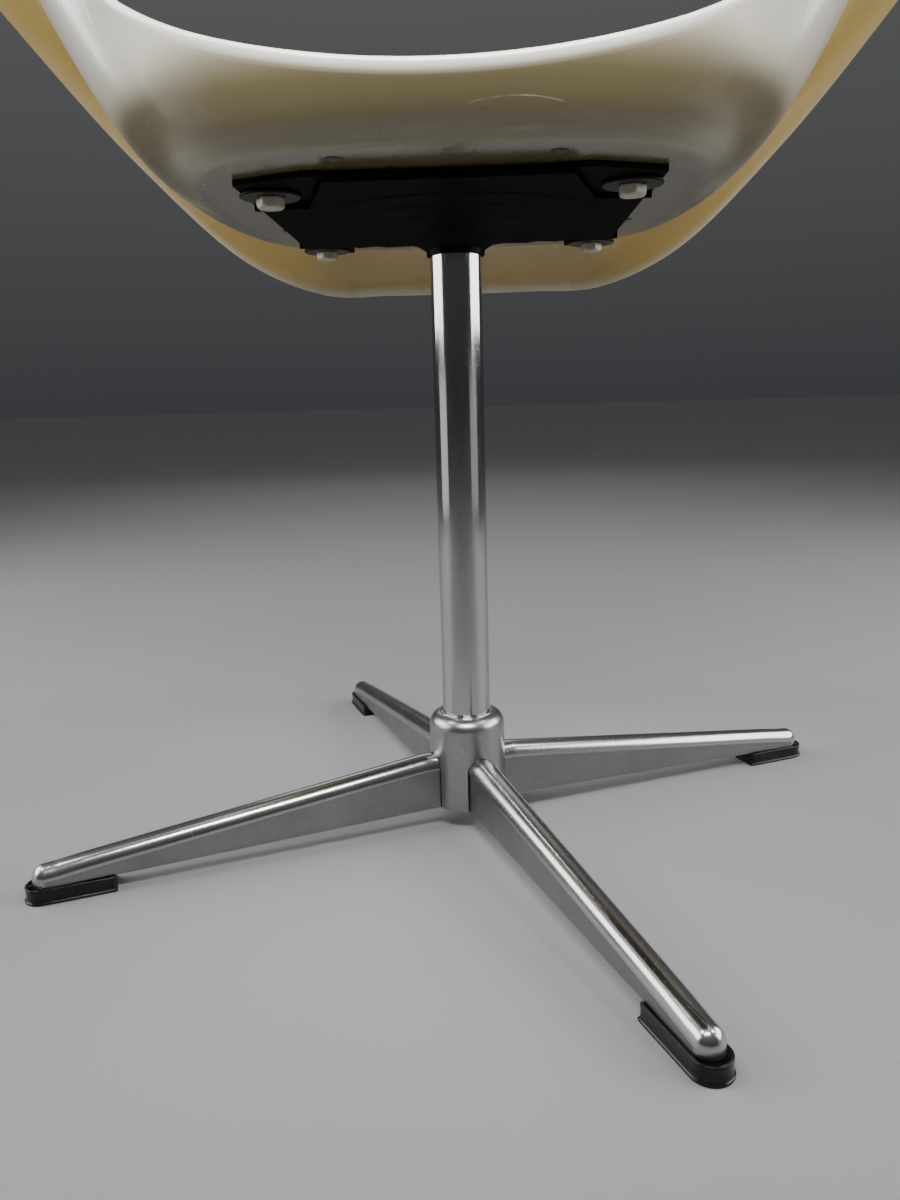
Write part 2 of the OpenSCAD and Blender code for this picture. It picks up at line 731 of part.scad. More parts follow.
// Rings of points, each with as many points as the last, closed by a face at both ends
module ring_solid(rings) {
    n = len(rings[0]);
    last = len(rings) - 1;
    sides = [for (k = [0 : last - 1]) for (i = [0 : n - 1])
        quad(k * n + i, (k + 1) * n + i, (k + 1) * n + (i + 1) % n, k * n + (i + 1) % n)];
    polyhedron(
        points = flat_list(rings),
        faces = concat(
            [[for (i = [0 : n - 1]) i], [for (i = [n - 1 : -1 : 0]) last * n + i]],
            flat_list(sides)));
}

// A loose cushion in the bowl: it follows the shell below, is drawn in at its sides and crowned above
module seat_cushion() {
    base_z = floor_z + shell_wall + board_t + seat_gap;
    crown_z = floor_z + crown_rise;
    edge_row = function (a) 1 + 2 * along(cushion_row_share, a);
    foot = function (a, s) let (p = shell_inside(a, 1 + (edge_row(a) - 1) * s, shell_wall + 5 * seat_gap))
        [p[0], p[1], max(p[2], base_z)];
    side_h = function (a) crown_rise * along(cushion_side_share, a);
    centre = function (a, share) let (p = foot(a, 0)) [p[0] * share, p[1] * share, base_z];
    top = function (a, share) let (p = foot(a, 1), edge_z = p[2] + side_h(a))
        [p[0] * share, p[1] * share, crown_z - (crown_z - edge_z) * pow(share, 3)];
    angle = [for (i = [0 : cushion_columns - 1]) signed(360 * i / cushion_columns)];
    below = [for (share = [0.4, 0.98]) [for (a = angle) centre(a, share)]];
    bowl = [for (s = [0.25, 0.5, 0.75, 1]) [for (a = angle) foot(a, s)]];
    side = [for (a = angle) let (p = foot(a, 1)) [p[0] * 1.01, p[1] * 1.01, p[2] + side_h(a) / 2]];
    above = [for (share = [0.985, 0.93, 0.82, 0.66, 0.46, 0.24]) [for (a = angle) top(a, share)]];
    color([0.72, 0.55, 0.2]) ring_solid(concat(below, bowl, [side], above));
}

// A crowned pad on the inside of the backrest, above the opening
module back_pad() {
    spot = function (i, share, depth)
        let (w = 360 * i / pad_columns)
        let (u = sign(cos(w)) * pow(abs(cos(w)), 2 / pad_power_share))
        let (v = sign(sin(w)) * pow(abs(sin(w)), 2 / pad_power_share))
        let (row = pad_row_share + pad_half_rows_share * share * v)
        shell_inside(signed(180 - pad_half_angle * share * u), row, depth);
    back_depth = shell_wall + 3 * seat_gap;
    thick = function (share) pad_edge_t + (pad_t - pad_edge_t) * (1 - pow(share, 3));
    back_rings = [for (k = [1 : pad_rings]) [for (i = [0 : pad_columns - 1])
        spot(i, k / pad_rings, back_depth)]];
    side_ring = [[for (i = [0 : pad_columns - 1]) spot(i, 1.02, back_depth + pad_edge_t / 2)]];
    front_rings = [for (k = [pad_rings : -1 : 1]) [for (i = [0 : pad_columns - 1])
        spot(i, k / pad_rings * 0.98, back_depth + thick(k / pad_rings))]];
    color([0.72, 0.55, 0.2]) ring_solid(concat(back_rings, side_ring, front_rings));
}

hub_cover();
hub_sleeve();
hub_floor();
clamp_bolt();
clamp_washer();
column_plug();
column();
leg(0);  // leg_right_rear
leg(1);  // leg_left_rear
leg(2);  // leg_left_front
leg(3);  // leg_right_front
glide(0);  // glide_right_rear
glide(1);  // glide_left_rear
glide(2);  // glide_left_front
glide(3);  // glide_right_front
lower_bush();
upper_bush();
lower_race();
bearing_balls();
upper_race();
spindle();
retaining_washer();
retaining_ring();
collar();
seat_plate();
plate_washers();
plate_bolts();
shell_nuts();
shell();
board_studs();
seat_board();
seat_cushion();
back_pad();
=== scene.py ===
import math

import bpy
import numpy as np
from mathutils import Matrix, Vector
from mathutils.bvhtree import BVHTree


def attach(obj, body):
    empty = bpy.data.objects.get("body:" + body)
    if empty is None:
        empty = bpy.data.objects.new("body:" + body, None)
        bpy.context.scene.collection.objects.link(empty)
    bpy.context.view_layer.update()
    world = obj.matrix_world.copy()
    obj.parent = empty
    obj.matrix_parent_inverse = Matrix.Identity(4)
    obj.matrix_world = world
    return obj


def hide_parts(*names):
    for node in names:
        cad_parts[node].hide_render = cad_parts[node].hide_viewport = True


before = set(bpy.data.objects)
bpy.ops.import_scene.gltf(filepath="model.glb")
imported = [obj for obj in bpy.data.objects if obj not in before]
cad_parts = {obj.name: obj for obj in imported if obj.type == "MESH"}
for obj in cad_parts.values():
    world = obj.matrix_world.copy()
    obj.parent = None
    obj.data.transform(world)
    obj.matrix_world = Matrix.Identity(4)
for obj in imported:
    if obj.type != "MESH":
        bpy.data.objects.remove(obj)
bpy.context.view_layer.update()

MM = 0.001

# Sizes of the shell and its opening in mm and degrees, as in the part's source
FLOOR_Z, SHELL_WALL, BOARD_T = 395.0, 5.0, 6.0
LIP_Z, CHAIR_H = 375.0, 790.0
FLOOR_OUT = (130.0, 118.0, 156.0, 4.0)
BELT_OUT = (205.0, 168.0, 196.0, 2.5)
RIM_OUT = (325.0, 220.0, 262.0, 1.82)
BELT_RISE = 69.0
BELT_RISE_SHARE = [0.17, 0.22, 0.66, 1.00, 1.00, 0.84, 0.78]
RIM_RISE_SHARE = [
    -0.002, -0.003, -0.001, 0.063, 0.212, 0.395, 0.561, 0.674, 0.757, 0.841, 0.925, 0.978, 1.000]
BELT_LEAN = [0, 5, 38, 60, 62, 62, 62]
RIM_LEAN = [-70, -68, -58, -27, 4, 18, 30, 45, 60, 71, 80, 84, 85]
OPEN_ANGLE, OPEN_END, OPEN_LOW, OPEN_HIGH = 48.0, 2.24, 0.638, 0.16
OPEN_POWER, OPEN_LOW_POWER, OPEN_HIGH_POWER = 2.2, 0.64, 0.5
BULGE = 0.35

# Sizes of the cushion, the pad, the studs and the base, as in the part's source
CROWN_RISE = 62.0
CUSHION_ROW = [0.60, 0.55, 0.37, 0.26, 0.25, 0.22, 0.21]
CUSHION_SIDE = [0.44, 0.44, 0.42, 0.42, 0.34, 0.22, 0.18]
PAD_EDGE_T, PAD_ANGLE, PAD_ROW, PAD_ROWS, PAD_POWER = 9.0, 38.0, 2.71, 0.2, 3.2
STUDS = [(-52, 145), (52, 145), (-108, -30), (108, -30)]
BASE_TURN = 22.8
LEGS = ["right_rear", "left_rear", "left_front", "right_front"]


# Mesh helpers
def make(name, verts, faces, body, slot, mat, replaces=()):
    """A piece of the scene, from points in millimetres and faces of point numbers."""
    points = (np.asarray(verts, float) * MM).tolist()
    mesh = bpy.data.meshes.new(name)
    mesh.from_pydata(points, [], [tuple(int(k) for k in face) for face in faces])
    mesh.validate()
    mesh.update()
    smooth(mesh)
    piece = bpy.data.objects.new(name, mesh)
    bpy.context.scene.collection.objects.link(piece)
    finish_piece(piece, body, mat, replaces)
    return piece


def finish_piece(piece, body, mat, replaces=()):
    piece.data.materials.clear()
    piece.data.materials.append(mat)
    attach(piece, body)
    if replaces:
        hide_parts(*replaces)


def smooth(mesh):
    mesh.polygons.foreach_set("use_smooth", [True] * len(mesh.polygons))


def store(piece, name, values):
    """Keeps one number per point, which the piece's material reads."""
    layer = piece.data.attributes.new(name, "FLOAT", "POINT")
    layer.data.foreach_set("value", values.astype(np.float32))


def unit(vectors):
    return vectors / np.linalg.norm(vectors, axis=-1)[..., None]


def smoothstep(low, high, x):
    t = np.clip((np.asarray(x, float) - low) / (high - low), 0, 1)
    return t * t * (3 - 2 * t)


def merge(verts, faces, dist=1e-4, values=None):
    """Welds equal points, drops faces that collapse, and keeps one value per point if there are any."""
    verts = np.asarray(verts, float)
    key = np.round(verts / dist).astype(np.int64)
    _, first, new_number = np.unique(key, axis=0, return_index=True, return_inverse=True)
    new_number = new_number.reshape(-1)
    kept = []
    for face in faces:
        points = []
        for k in new_number[list(face)]:
            if not points or points[-1] != k:
                points.append(int(k))
        if len(points) > 1 and points[0] == points[-1]:
            points.pop()
        if len(set(points)) > 2:
            kept.append(points)
    if values is None:
        return verts[first], kept
    return verts[first], kept, values[first]


def join(parts):
    """Several pairs of points and faces as one."""
    verts, faces, start = [], [], 0
    for part_verts, part_faces in parts:
        verts.append(np.asarray(part_verts, float))
        faces += [[k + start for k in face] for face in part_faces]
        start += len(part_verts)
    return np.concatenate(verts), faces


def grid_faces(rows, cols, wrap_rows=False, wrap_cols=False, start=0, flip=False):
    """Quads of a grid of points, numbered row by row."""
    faces = []
    for i in range(rows if wrap_rows else rows - 1):
        for j in range(cols if wrap_cols else cols - 1):
            here, below = start + i * cols, start + (i + 1) % rows * cols
            right = (j + 1) % cols
            if flip:
                faces.append((here + j, here + right, below + right, below + j))
            else:
                faces.append((here + j, below + j, below + right, here + right))
    return faces


def lathe(profile, sides, centre=(0, 0)):
    """Surface of revolution about Z of a list of (radius, z)."""
    angle = np.linspace(0, 2 * np.pi, sides, endpoint=False)[:, None]
    radius, height = np.array(profile, float).T
    verts = np.stack([
        centre[0] + np.cos(angle) * radius,
        centre[1] + np.sin(angle) * radius,
        np.tile(height, (sides, 1))], -1)
    return merge(verts.reshape(-1, 3), grid_faces(sides, len(profile), wrap_rows=True))


def arc(centre, radius, start, end, count):
    """Points on an arc in a plane, from one angle in degrees to another."""
    angles = np.radians(np.linspace(start, end, count))
    return [(centre[0] + radius * math.cos(a), centre[1] + radius * math.sin(a)) for a in angles]


def tube(path, radius, sides, closed=True, up=(0.0, 0.0, 1.0)):
    """A tube along points; closed paths join up. No stretch of the path runs along up."""
    path = np.asarray(path, float)
    count = len(path)
    ahead = np.roll(path, -1, 0) - np.roll(path, 1, 0)
    if not closed:
        ahead[0] = path[1] - path[0]
        ahead[-1] = path[-1] - path[-2]
    ahead = unit(ahead)
    side = unit(np.cross(ahead, np.asarray(up, float)))
    top = np.cross(side, ahead)
    angle = np.linspace(0, 2 * np.pi, sides, endpoint=False)[None, :, None]
    verts = path[:, None] + radius * (np.cos(angle) * side[:, None] + np.sin(angle) * top[:, None])
    faces = grid_faces(count, sides, wrap_rows=closed, wrap_cols=True)
    if not closed:
        faces.append(tuple(range(sides)))
        faces.append(tuple(range(count * sides - 1, (count - 1) * sides - 1, -1)))
    return verts.reshape(-1, 3), faces


def turned(points, degrees):
    """Points turned about Z."""
    c, s = math.cos(math.radians(degrees)), math.sin(math.radians(degrees))
    return points @ np.array([[c, s, 0], [-s, c, 0], [0, 0, 1]])


# The shell's surface, as in the source
def hermite(t, p0, m0, p1, m1):
    return ((2 * t**3 - 3 * t**2 + 1) * p0 + (t**3 - 2 * t**2 + t) * m0
            + (3 * t**2 - 2 * t**3) * p1 + (t**3 - t**2) * m1)


def along(table, angle):
    """A smooth value from a table that runs from the front, at 0 degrees, to the back, at 180."""
    table = np.array(table, float)
    last = len(table) - 1
    place = np.clip(np.abs(angle) / 180 * last, 0, last - 1e-6)
    i = np.floor(place).astype(int)
    longer = np.concatenate([[table[1]], table, [table[-2]]])
    p0, p1, p2, p3 = longer[i], longer[i + 1], longer[i + 2], longer[i + 3]
    return hermite(place - i, p1, (p2 - p0) / 2, p2, (p3 - p1) / 2)


def outline_radius(angle, half_width, front, back, power):
    ahead, aside = np.cos(np.radians(angle)), np.abs(np.sin(np.radians(angle)))
    reach = np.where(ahead > 0, front, back)
    return ((aside / half_width) ** power + (np.abs(ahead) / reach) ** power) ** (-1 / power)


def shell_point(angle, row):
    """A point of the outer surface, by its angle from the front and its row.

    The row is 1 at the edge of the flat underside, 2 at the belt and 3 at the rim.
    """
    angle, row = np.broadcast_arrays(np.asarray(angle, float), np.asarray(row, float))
    floor_r = outline_radius(angle, *FLOOR_OUT)
    belt_r = outline_radius(angle, *BELT_OUT)
    rim_r = outline_radius(angle, *RIM_OUT)
    belt_z = FLOOR_Z + BELT_RISE * along(BELT_RISE_SHARE, angle)
    rim_z = LIP_Z + (CHAIR_H - LIP_Z) * along(RIM_RISE_SHARE, angle)
    belt_lean = np.radians(along(BELT_LEAN, angle))
    rim_lean = np.radians(along(RIM_LEAN, angle))
    low = np.hypot(belt_r - floor_r, belt_z - FLOOR_Z)
    high = np.hypot(rim_r - belt_r, rim_z - belt_z)
    below, above = row - 1, row - 2
    radius = np.where(
        row <= 2,
        hermite(below, floor_r, low, belt_r, low * np.cos(belt_lean)),
        hermite(above, belt_r, high * np.cos(belt_lean), rim_r, high * np.cos(rim_lean)))
    z = np.where(
        row <= 2,
        hermite(below, FLOOR_Z, 0, belt_z, low * np.sin(belt_lean)),
        hermite(above, belt_z, high * np.sin(belt_lean), rim_z, high * np.sin(rim_lean)))
    turn = np.radians(angle)
    return np.stack([radius * np.sin(turn), -radius * np.cos(turn), z], -1)


def shell_normal(angle, row):
    """Unit vector from the outer surface into the seat."""
    angle, row = np.broadcast_arrays(np.asarray(angle, float), np.asarray(row, float))
    across = shell_point(angle + 0.5, row) - shell_point(angle - 0.5, row)
    up = shell_point(angle, np.minimum(row + 0.01, 3)) - shell_point(angle, np.maximum(row - 0.01, 1))
    normal = np.cross(up, across)
    normal[row <= 1] = (0, 0, 1)
    return unit(normal)


def shell_inside(angle, row, depth):
    """A point at a depth into the seat, in mm from the outer surface."""
    return shell_point(angle, row) + np.asarray(depth)[..., None] * shell_normal(angle, row)


def signed(angle):
    return (np.asarray(angle, float) + 180) % 360 - 180


def open_share(angle):
    """How far the opening has grown: 0 at its ends and 1 in the middle of the back."""
    from_back = np.maximum(180 - np.abs(angle), 0)
    return np.maximum(0, 1 - (from_back / OPEN_ANGLE) ** OPEN_POWER)


def open_low(angle):
    return OPEN_END - OPEN_LOW * open_share(angle) ** OPEN_LOW_POWER


def open_high(angle):
    return OPEN_END + OPEN_HIGH * open_share(angle) ** OPEN_HIGH_POWER


def shell_mesh():
    """Points and faces of the moulding, and each point's angle, row and depth: 0 outside and 1 inside."""
    open_cols, side_cols, low_rows, high_rows, edge_steps = 96, 216, 30, 40, 8
    cols, rows = open_cols + side_cols, low_rows + high_rows
    angle = signed(np.concatenate([
        180 - OPEN_ANGLE * np.cos(np.pi * np.arange(open_cols) / open_cols),
        180 + OPEN_ANGLE + (360 - 2 * OPEN_ANGLE) * np.arange(side_cols) / side_cols]))
    has_opening = np.zeros(cols, bool)
    has_opening[1:open_cols] = True
    low = np.where(has_opening, open_low(angle), OPEN_END)[:, None]
    high = np.where(has_opening, open_high(angle), OPEN_END)[:, None]
    row = np.concatenate([
        1 + (low - 1) * (np.arange(low_rows) / (low_rows - 1)),
        high + (3 - high) * (np.arange(high_rows) / (high_rows - 1))], 1)
    grid_angle = np.repeat(angle[:, None], rows, 1)
    outer = shell_point(grid_angle, row)
    inner = outer + SHELL_WALL * shell_normal(grid_angle, row)
    verts, info, faces = [], [], []

    def add(points, angles, point_rows, depth):
        """Takes in points with what is known of them, and returns the number of the first."""
        start = sum(len(part) for part in verts)
        verts.append(np.reshape(points, (-1, 3)))
        info.append(np.stack(np.broadcast_arrays(angles, point_rows, depth), -1).reshape(-1, 3))
        return start

    # the two surfaces, without the quads that would close the opening
    first = (add(outer, grid_angle, row, 0.0), add(inner, grid_angle, row, 1.0))
    for start, flip in zip(first, (False, True)):
        quads = grid_faces(cols, rows, wrap_rows=True, start=start, flip=flip)
        faces += [quad for k, quad in enumerate(quads) if k % (rows - 1) != low_rows - 1]

    def edge(line, at, beside, closed):
        """Half-round edge between the two surfaces, along the grid row at, away from the row beside it."""
        outer_line, inner_line = outer[line, at], inner[line, at]
        middle, half = (outer_line + inner_line) / 2, (outer_line - inner_line) / 2
        bulge = unit(outer_line - outer[line, beside]) * BULGE * SHELL_WALL
        if not closed:
            bulge[[0, -1]] = 0
        turn = np.linspace(0, np.pi, edge_steps + 1)[1:-1, None]
        points = middle[:, None] + np.cos(turn) * half[:, None] + np.sin(turn) * bulge[:, None]
        depths = np.full(edge_steps - 1, 0.5)
        start = add(points, angle[line][:, None], row[line, at][:, None], depths)
        new = start + np.arange(len(line) * (edge_steps - 1)).reshape(len(line), -1)
        ids = np.column_stack([first[0] + line * rows + at, new, first[1] + line * rows + at]).ravel()
        quads = grid_faces(len(line), edge_steps + 1, wrap_rows=closed, flip=beside > at)
        faces.extend(tuple(ids[list(quad)]) for quad in quads)

    edge(np.arange(cols), rows - 1, rows - 2, True)
    opening = np.arange(open_cols + 1)
    edge(opening, low_rows - 1, low_rows - 2, False)
    edge(opening, low_rows, low_rows + 1, False)

    # the flat underside and the flat inside, in rings towards the middle
    for depth, surface, z in ((0, outer, FLOOR_Z), (1, inner, FLOOR_Z + SHELL_WALL)):
        order = 1 if depth == 0 else -1
        ring = [first[depth] + i * rows for i in range(cols)]
        for share in (0.93, 0.84, 0.72, 0.56, 0.38, 0.2):
            points = surface[:, 0] * share
            points[:, 2] = z
            start = add(points, angle, share, float(depth))
            for i in range(cols):
                after = (i + 1) % cols
                faces.append((ring[i], start + i, start + after, ring[after])[::order])
            ring = [start + i for i in range(cols)]
        centre = add((0, 0, z), 0.0, 0.0, float(depth))
        for i in range(cols):
            faces.append((ring[i], centre, ring[(i + 1) % cols])[::order])
    return np.concatenate(verts), faces, np.concatenate(info)


# Materials
class Nodes:
    """A short way to write a material's nodes."""

    def __init__(self, name):
        self.mat = bpy.data.materials.new(name)
        self.mat.use_nodes = True
        self.tree = self.mat.node_tree
        self.tree.nodes.clear()
        output = self.tree.nodes.new("ShaderNodeOutputMaterial")
        self.shader = self.tree.nodes.new("ShaderNodeBsdfPrincipled")
        self.tree.links.new(self.shader.outputs[0], output.inputs["Surface"])
        self.place = self.node("TexCoord", out="Object")

    def put(self, socket, value):
        if isinstance(value, bpy.types.NodeSocket):
            self.tree.links.new(value, socket)
        elif isinstance(value, (tuple, list)) and len(value) == 3 and socket.type == "RGBA":
            socket.default_value = (*value, 1)
        else:
            socket.default_value = value

    def node(self, kind, out=0, props=None, **inputs):
        """A node's output; i0 and i1 name inputs by number, other names stand for the input's own."""
        node = self.tree.nodes.new("ShaderNode" + kind)
        for key, value in (props or {}).items():
            setattr(node, key, value)
        for key, value in inputs.items():
            by_number = key[0] == "i" and key[1:].isdigit()
            self.put(node.inputs[int(key[1:]) if by_number else key.replace("_", " ")], value)
        return node.outputs[out]

    def axis(self, letter, vector):
        return self.node("SeparateXYZ", out=letter, Vector=vector)

    def scaled(self, scale):
        return self.node("Mapping", props={"vector_type": "POINT"}, Vector=self.place, Scale=scale)

    def noise(self, scale, detail=3.0, rough=0.5, distortion=0.0, vector=None):
        return self.node("TexNoise", out="Fac", Vector=self.place if vector is None else vector, Scale=scale,
                         Detail=detail, Roughness=rough, Distortion=distortion)

    def span(self, value, low, high, to_low=0.0, to_high=1.0):
        return self.node("MapRange", Value=value, From_Min=low, From_Max=high, To_Min=to_low, To_Max=to_high)

    def soft(self, value, low, high, to_low=0.0, to_high=1.0):
        return self.node("MapRange", props={"interpolation_type": "SMOOTHERSTEP"}, Value=value,
                         From_Min=low, From_Max=high, To_Min=to_low, To_Max=to_high)

    def math(self, operation, a, b=0.0):
        return self.node("Math", props={"operation": operation}, i0=a, i1=b)

    def times(self, a, b):
        return self.math("MULTIPLY", a, b)

    def plus(self, a, b):
        return self.math("ADD", a, b)

    def minus(self, a, b):
        return self.math("SUBTRACT", a, b)

    def size(self, a):
        return self.math("ABSOLUTE", a)

    def mix(self, share, a, b):
        node = self.tree.nodes.new("ShaderNodeMix")
        node.data_type = "RGBA"
        for number, value in ((0, share), (6, a), (7, b)):
            self.put(node.inputs[number], value)
        return node.outputs[2]

    def stored(self, name):
        props = {"attribute_name": name, "attribute_type": "GEOMETRY"}
        return self.node("Attribute", out="Fac", props=props)

    def bump(self, height, strength, distance):
        return self.node("Bump", Height=height, Strength=strength, Distance=distance)

    def finish(self, **inputs):
        for key, value in inputs.items():
            self.put(self.shader.inputs[key.replace("_", " ")], value)
        return self.mat


def scratch_line(n):
    """One hairline scratch, a flat arch on the outside of the back, in metres: 1 on it and 0 beside it."""
    middle_x, half_width, top_z, tilt, sag = -0.039, 0.023, 0.4101, 0.00225, 0.0029
    x, y, z = (n.axis(letter, n.place) for letter in "XYZ")
    u = n.times(n.plus(x, -middle_x), 1 / half_width)
    curve = n.minus(n.times(u, tilt), n.times(n.times(u, u), sag))
    wander = n.times(n.noise(30.0, 1), 0.002)
    off = n.size(n.minus(n.plus(z, wander), n.plus(curve, top_z)))
    line = n.span(off, 0.00010, 0.00030, 1.0, 0.0)
    ends = n.span(n.size(u), 0.9, 1.35, 1.0, 0.0)
    only_back = n.span(y, 0.12, 0.13)
    breaks = n.span(n.noise(120.0, 1), 0.35, 0.6)
    return n.times(n.times(n.times(line, ends), only_back), breaks)


def ivory():
    """Glossy moulding; stored values paint khaki shade on it, add ochre that is partly yellowing and partly
    painted glow, and a painted highlight near the rim.
    """
    n = Nodes("shell_ivory")
    light, deep, speck = (0.83, 0.77, 0.61), (0.76, 0.69, 0.52), (0.52, 0.45, 0.28)
    khaki, ochre, white = (0.088, 0.066, 0.016), (0.52, 0.335, 0.050), (0.94, 0.92, 0.85)
    base = n.mix(n.soft(n.noise(4.0), 0.1, 0.9), light, deep)
    base = n.mix(n.times(n.soft(n.noise(38.0, 4, 0.6), 0.1, 1.0), 0.07), base, speck)
    # painted shade: mixes towards dark khaki where the stored shade value is high
    base = n.mix(n.stored("shade"), base, khaki)
    # ochre, partly yellowing of the plastic and partly painted glow of light through it and of yellowish
    # reflections
    base = n.mix(n.stored("yellowing_and_painted_glow"), base, ochre)
    # painted highlight: near white where the stored pale value is high
    base = n.mix(n.stored("pale"), base, white)
    line = scratch_line(n)
    base = n.mix(n.times(line, 0.35), base, (0.70, 0.66, 0.55))
    rough = n.soft(n.noise(14.0), 0.1, 0.9, 0.24, 0.32)
    return n.finish(Base_Color=base, Roughness=rough, Normal=n.bump(line, 0.05, -0.0003),
                    IOR=1.5, Coat_Weight=0.7, Coat_Roughness=0.16)


def chrome():
    """Polished tube with patches of fine rust pits and a light haze."""
    n = Nodes("column_chrome")
    metal, rust = (0.48, 0.48, 0.475), (0.20, 0.17, 0.14)
    patch = n.span(n.noise(18.0, 3, 0.6), 0.42, 0.68)
    pits = n.times(n.span(n.noise(900.0, 2, 0.7), 0.665, 0.70), patch)
    haze = n.span(n.noise(90.0, 4, 0.6, vector=n.scaled((1, 1, 0.15))), 0.45, 0.8)
    rough = n.plus(n.plus(0.10, n.times(haze, 0.10)), n.times(pits, 0.35))
    base = n.mix(n.times(pits, 0.75), metal, rust)
    waves = n.minus(n.noise(40.0, 2), pits)
    return n.finish(Base_Color=base, Metallic=1.0, Roughness=rough, Normal=n.bump(waves, 0.05, 0.0006))


def satin():
    """Satin metal of the hub's cover, with grain and fine scratches."""
    n = Nodes("hub_metal")
    metal = (0.38, 0.38, 0.372)
    cloudy, grainy = (tuple(k * share for k in metal) for share in (0.84, 0.6))
    grain = n.noise(900.0, 3, 0.6, vector=n.scaled((1, 1, 0.35)))
    cloud = n.noise(45.0, 3, 0.6)
    scratch = n.span(n.noise(520.0, 1, 0.5, 0.4, vector=n.scaled((1.0, 0.12, 1.0))), 0.69, 0.73)
    base = n.mix(n.span(cloud, 0.3, 0.75), metal, cloudy)
    base = n.mix(n.times(n.span(grain, 0.35, 0.7), 0.10), base, grainy)
    base = n.mix(n.times(scratch, 0.15), base, (0.75, 0.75, 0.74))
    rough = n.plus(n.soft(cloud, 0.1, 0.9, 0.26, 0.31), n.times(n.span(grain, 0.4, 0.8), 0.03))
    relief = n.bump(n.minus(grain, n.times(scratch, 0.6)), 0.03, 0.0003)
    return n.finish(Base_Color=base, Metallic=1.0, Roughness=rough, Normal=relief)


def leg_metal():
    """Polished on the ridge, with rust pits, and rougher on the sides, where the stored value is 1."""
    n = Nodes("leg_metal")
    side = n.stored("side")
    grain = n.noise(650.0, 3, 0.65)
    cloud = n.noise(32.0, 4, 0.6)
    pits = n.times(n.span(n.noise(820.0, 2, 0.7), 0.66, 0.70), n.span(n.noise(22.0, 2), 0.4, 0.65))
    ridge = n.mix(n.times(pits, 0.7), (0.45, 0.45, 0.445), (0.20, 0.18, 0.16))
    flank = n.mix(n.span(cloud, 0.3, 0.72), (0.31, 0.31, 0.30), (0.25, 0.247, 0.237))
    flank = n.mix(n.times(n.span(grain, 0.4, 0.7), 0.35), flank, (0.21, 0.205, 0.195))
    ridge_rough = n.plus(n.soft(cloud, 0.1, 0.9, 0.19, 0.25), n.times(pits, 0.3))
    flank_rough = n.span(cloud, 0.25, 0.75, 0.30, 0.42)
    rough = n.plus(n.times(ridge_rough, n.minus(1.0, side)), n.times(flank_rough, side))
    relief = n.bump(n.times(grain, n.plus(n.times(side, 0.8), 0.1)), 0.12, 0.0003)
    return n.finish(Base_Color=n.mix(side, ridge, flank), Metallic=1.0, Roughness=rough, Normal=relief)


def black_plastic():
    """Glossy black shoes with scuffs along them and a little dust."""
    n = Nodes("glide_plastic")
    scuff = n.span(n.noise(240.0, 3, 0.7, vector=n.scaled((1.0, 0.3, 1.0))), 0.58, 0.75)
    dust = n.span(n.noise(60.0, 4, 0.7), 0.5, 0.8)
    base = n.mix(n.times(scuff, 0.4), (0.008, 0.008, 0.008), (0.05, 0.05, 0.048))
    base = n.mix(n.times(dust, 0.10), base, (0.08, 0.08, 0.076))
    rough = n.plus(n.span(dust, 0, 1, 0.14, 0.30), n.times(scuff, 0.2))
    return n.finish(Base_Color=base, Roughness=rough, Normal=n.bump(n.noise(380.0, 2), 0.08, 0.0004),
                    IOR=1.45, Specular_IOR_Level=0.3)


def black_paint():
    """Half gloss paint with orange peel, dust and small worn spots."""
    n = Nodes("plate_black")
    peel = n.noise(420.0, 2)
    dust = n.span(n.noise(26.0, 5, 0.7), 0.5, 0.85)
    wear = n.span(n.noise(150.0, 3, 0.7), 0.70, 0.75)
    base = n.mix(n.times(dust, 0.25), (0.0055, 0.006, 0.005), (0.018, 0.018, 0.015))
    base = n.mix(n.times(wear, 0.2), base, (0.09, 0.085, 0.08))
    rough = n.plus(n.span(dust, 0, 1, 0.30, 0.46), n.times(peel, 0.05))
    return n.finish(Base_Color=base, Roughness=rough, Normal=n.bump(peel, 0.10, 0.0005),
                    Specular_IOR_Level=0.0, Coat_Weight=0.09, Coat_Roughness=0.32)


def plain(name, light, dark, smoothest, roughest, metal=0.0, scale=120.0, strength=0.1, level=0.5):
    """Two close colours in soft clouds, with a fine grain."""
    n = Nodes(name)
    grain = n.noise(scale * 7, 2, 0.6)
    base = n.mix(n.span(n.noise(scale, 4, 0.6), 0.3, 0.7), light, dark)
    rough = n.span(grain, 0.3, 0.7, smoothest, roughest)
    return n.finish(Base_Color=base, Metallic=metal, Roughness=rough,
                    Normal=n.bump(grain, strength, 0.0004), Specular_IOR_Level=level)


def plywood():
    n = Nodes("board_wood")
    grain = n.noise(6.0, 5, 0.65, 0.6, vector=n.scaled((3.0, 40.0, 40.0)))
    plies = n.node("TexWave", out="Fac", props={"bands_direction": "Z"}, Vector=n.place,
                   Scale=250.0, Distortion=0.6)
    base = n.mix(n.span(grain, 0.3, 0.7), (0.62, 0.45, 0.27), (0.40, 0.26, 0.13))
    base = n.mix(n.times(plies, 0.3), base, (0.30, 0.19, 0.10))
    rough = n.span(grain, 0, 1, 0.5, 0.7)
    return n.finish(Base_Color=base, Roughness=rough, Normal=n.bump(grain, 0.2, 0.0006))


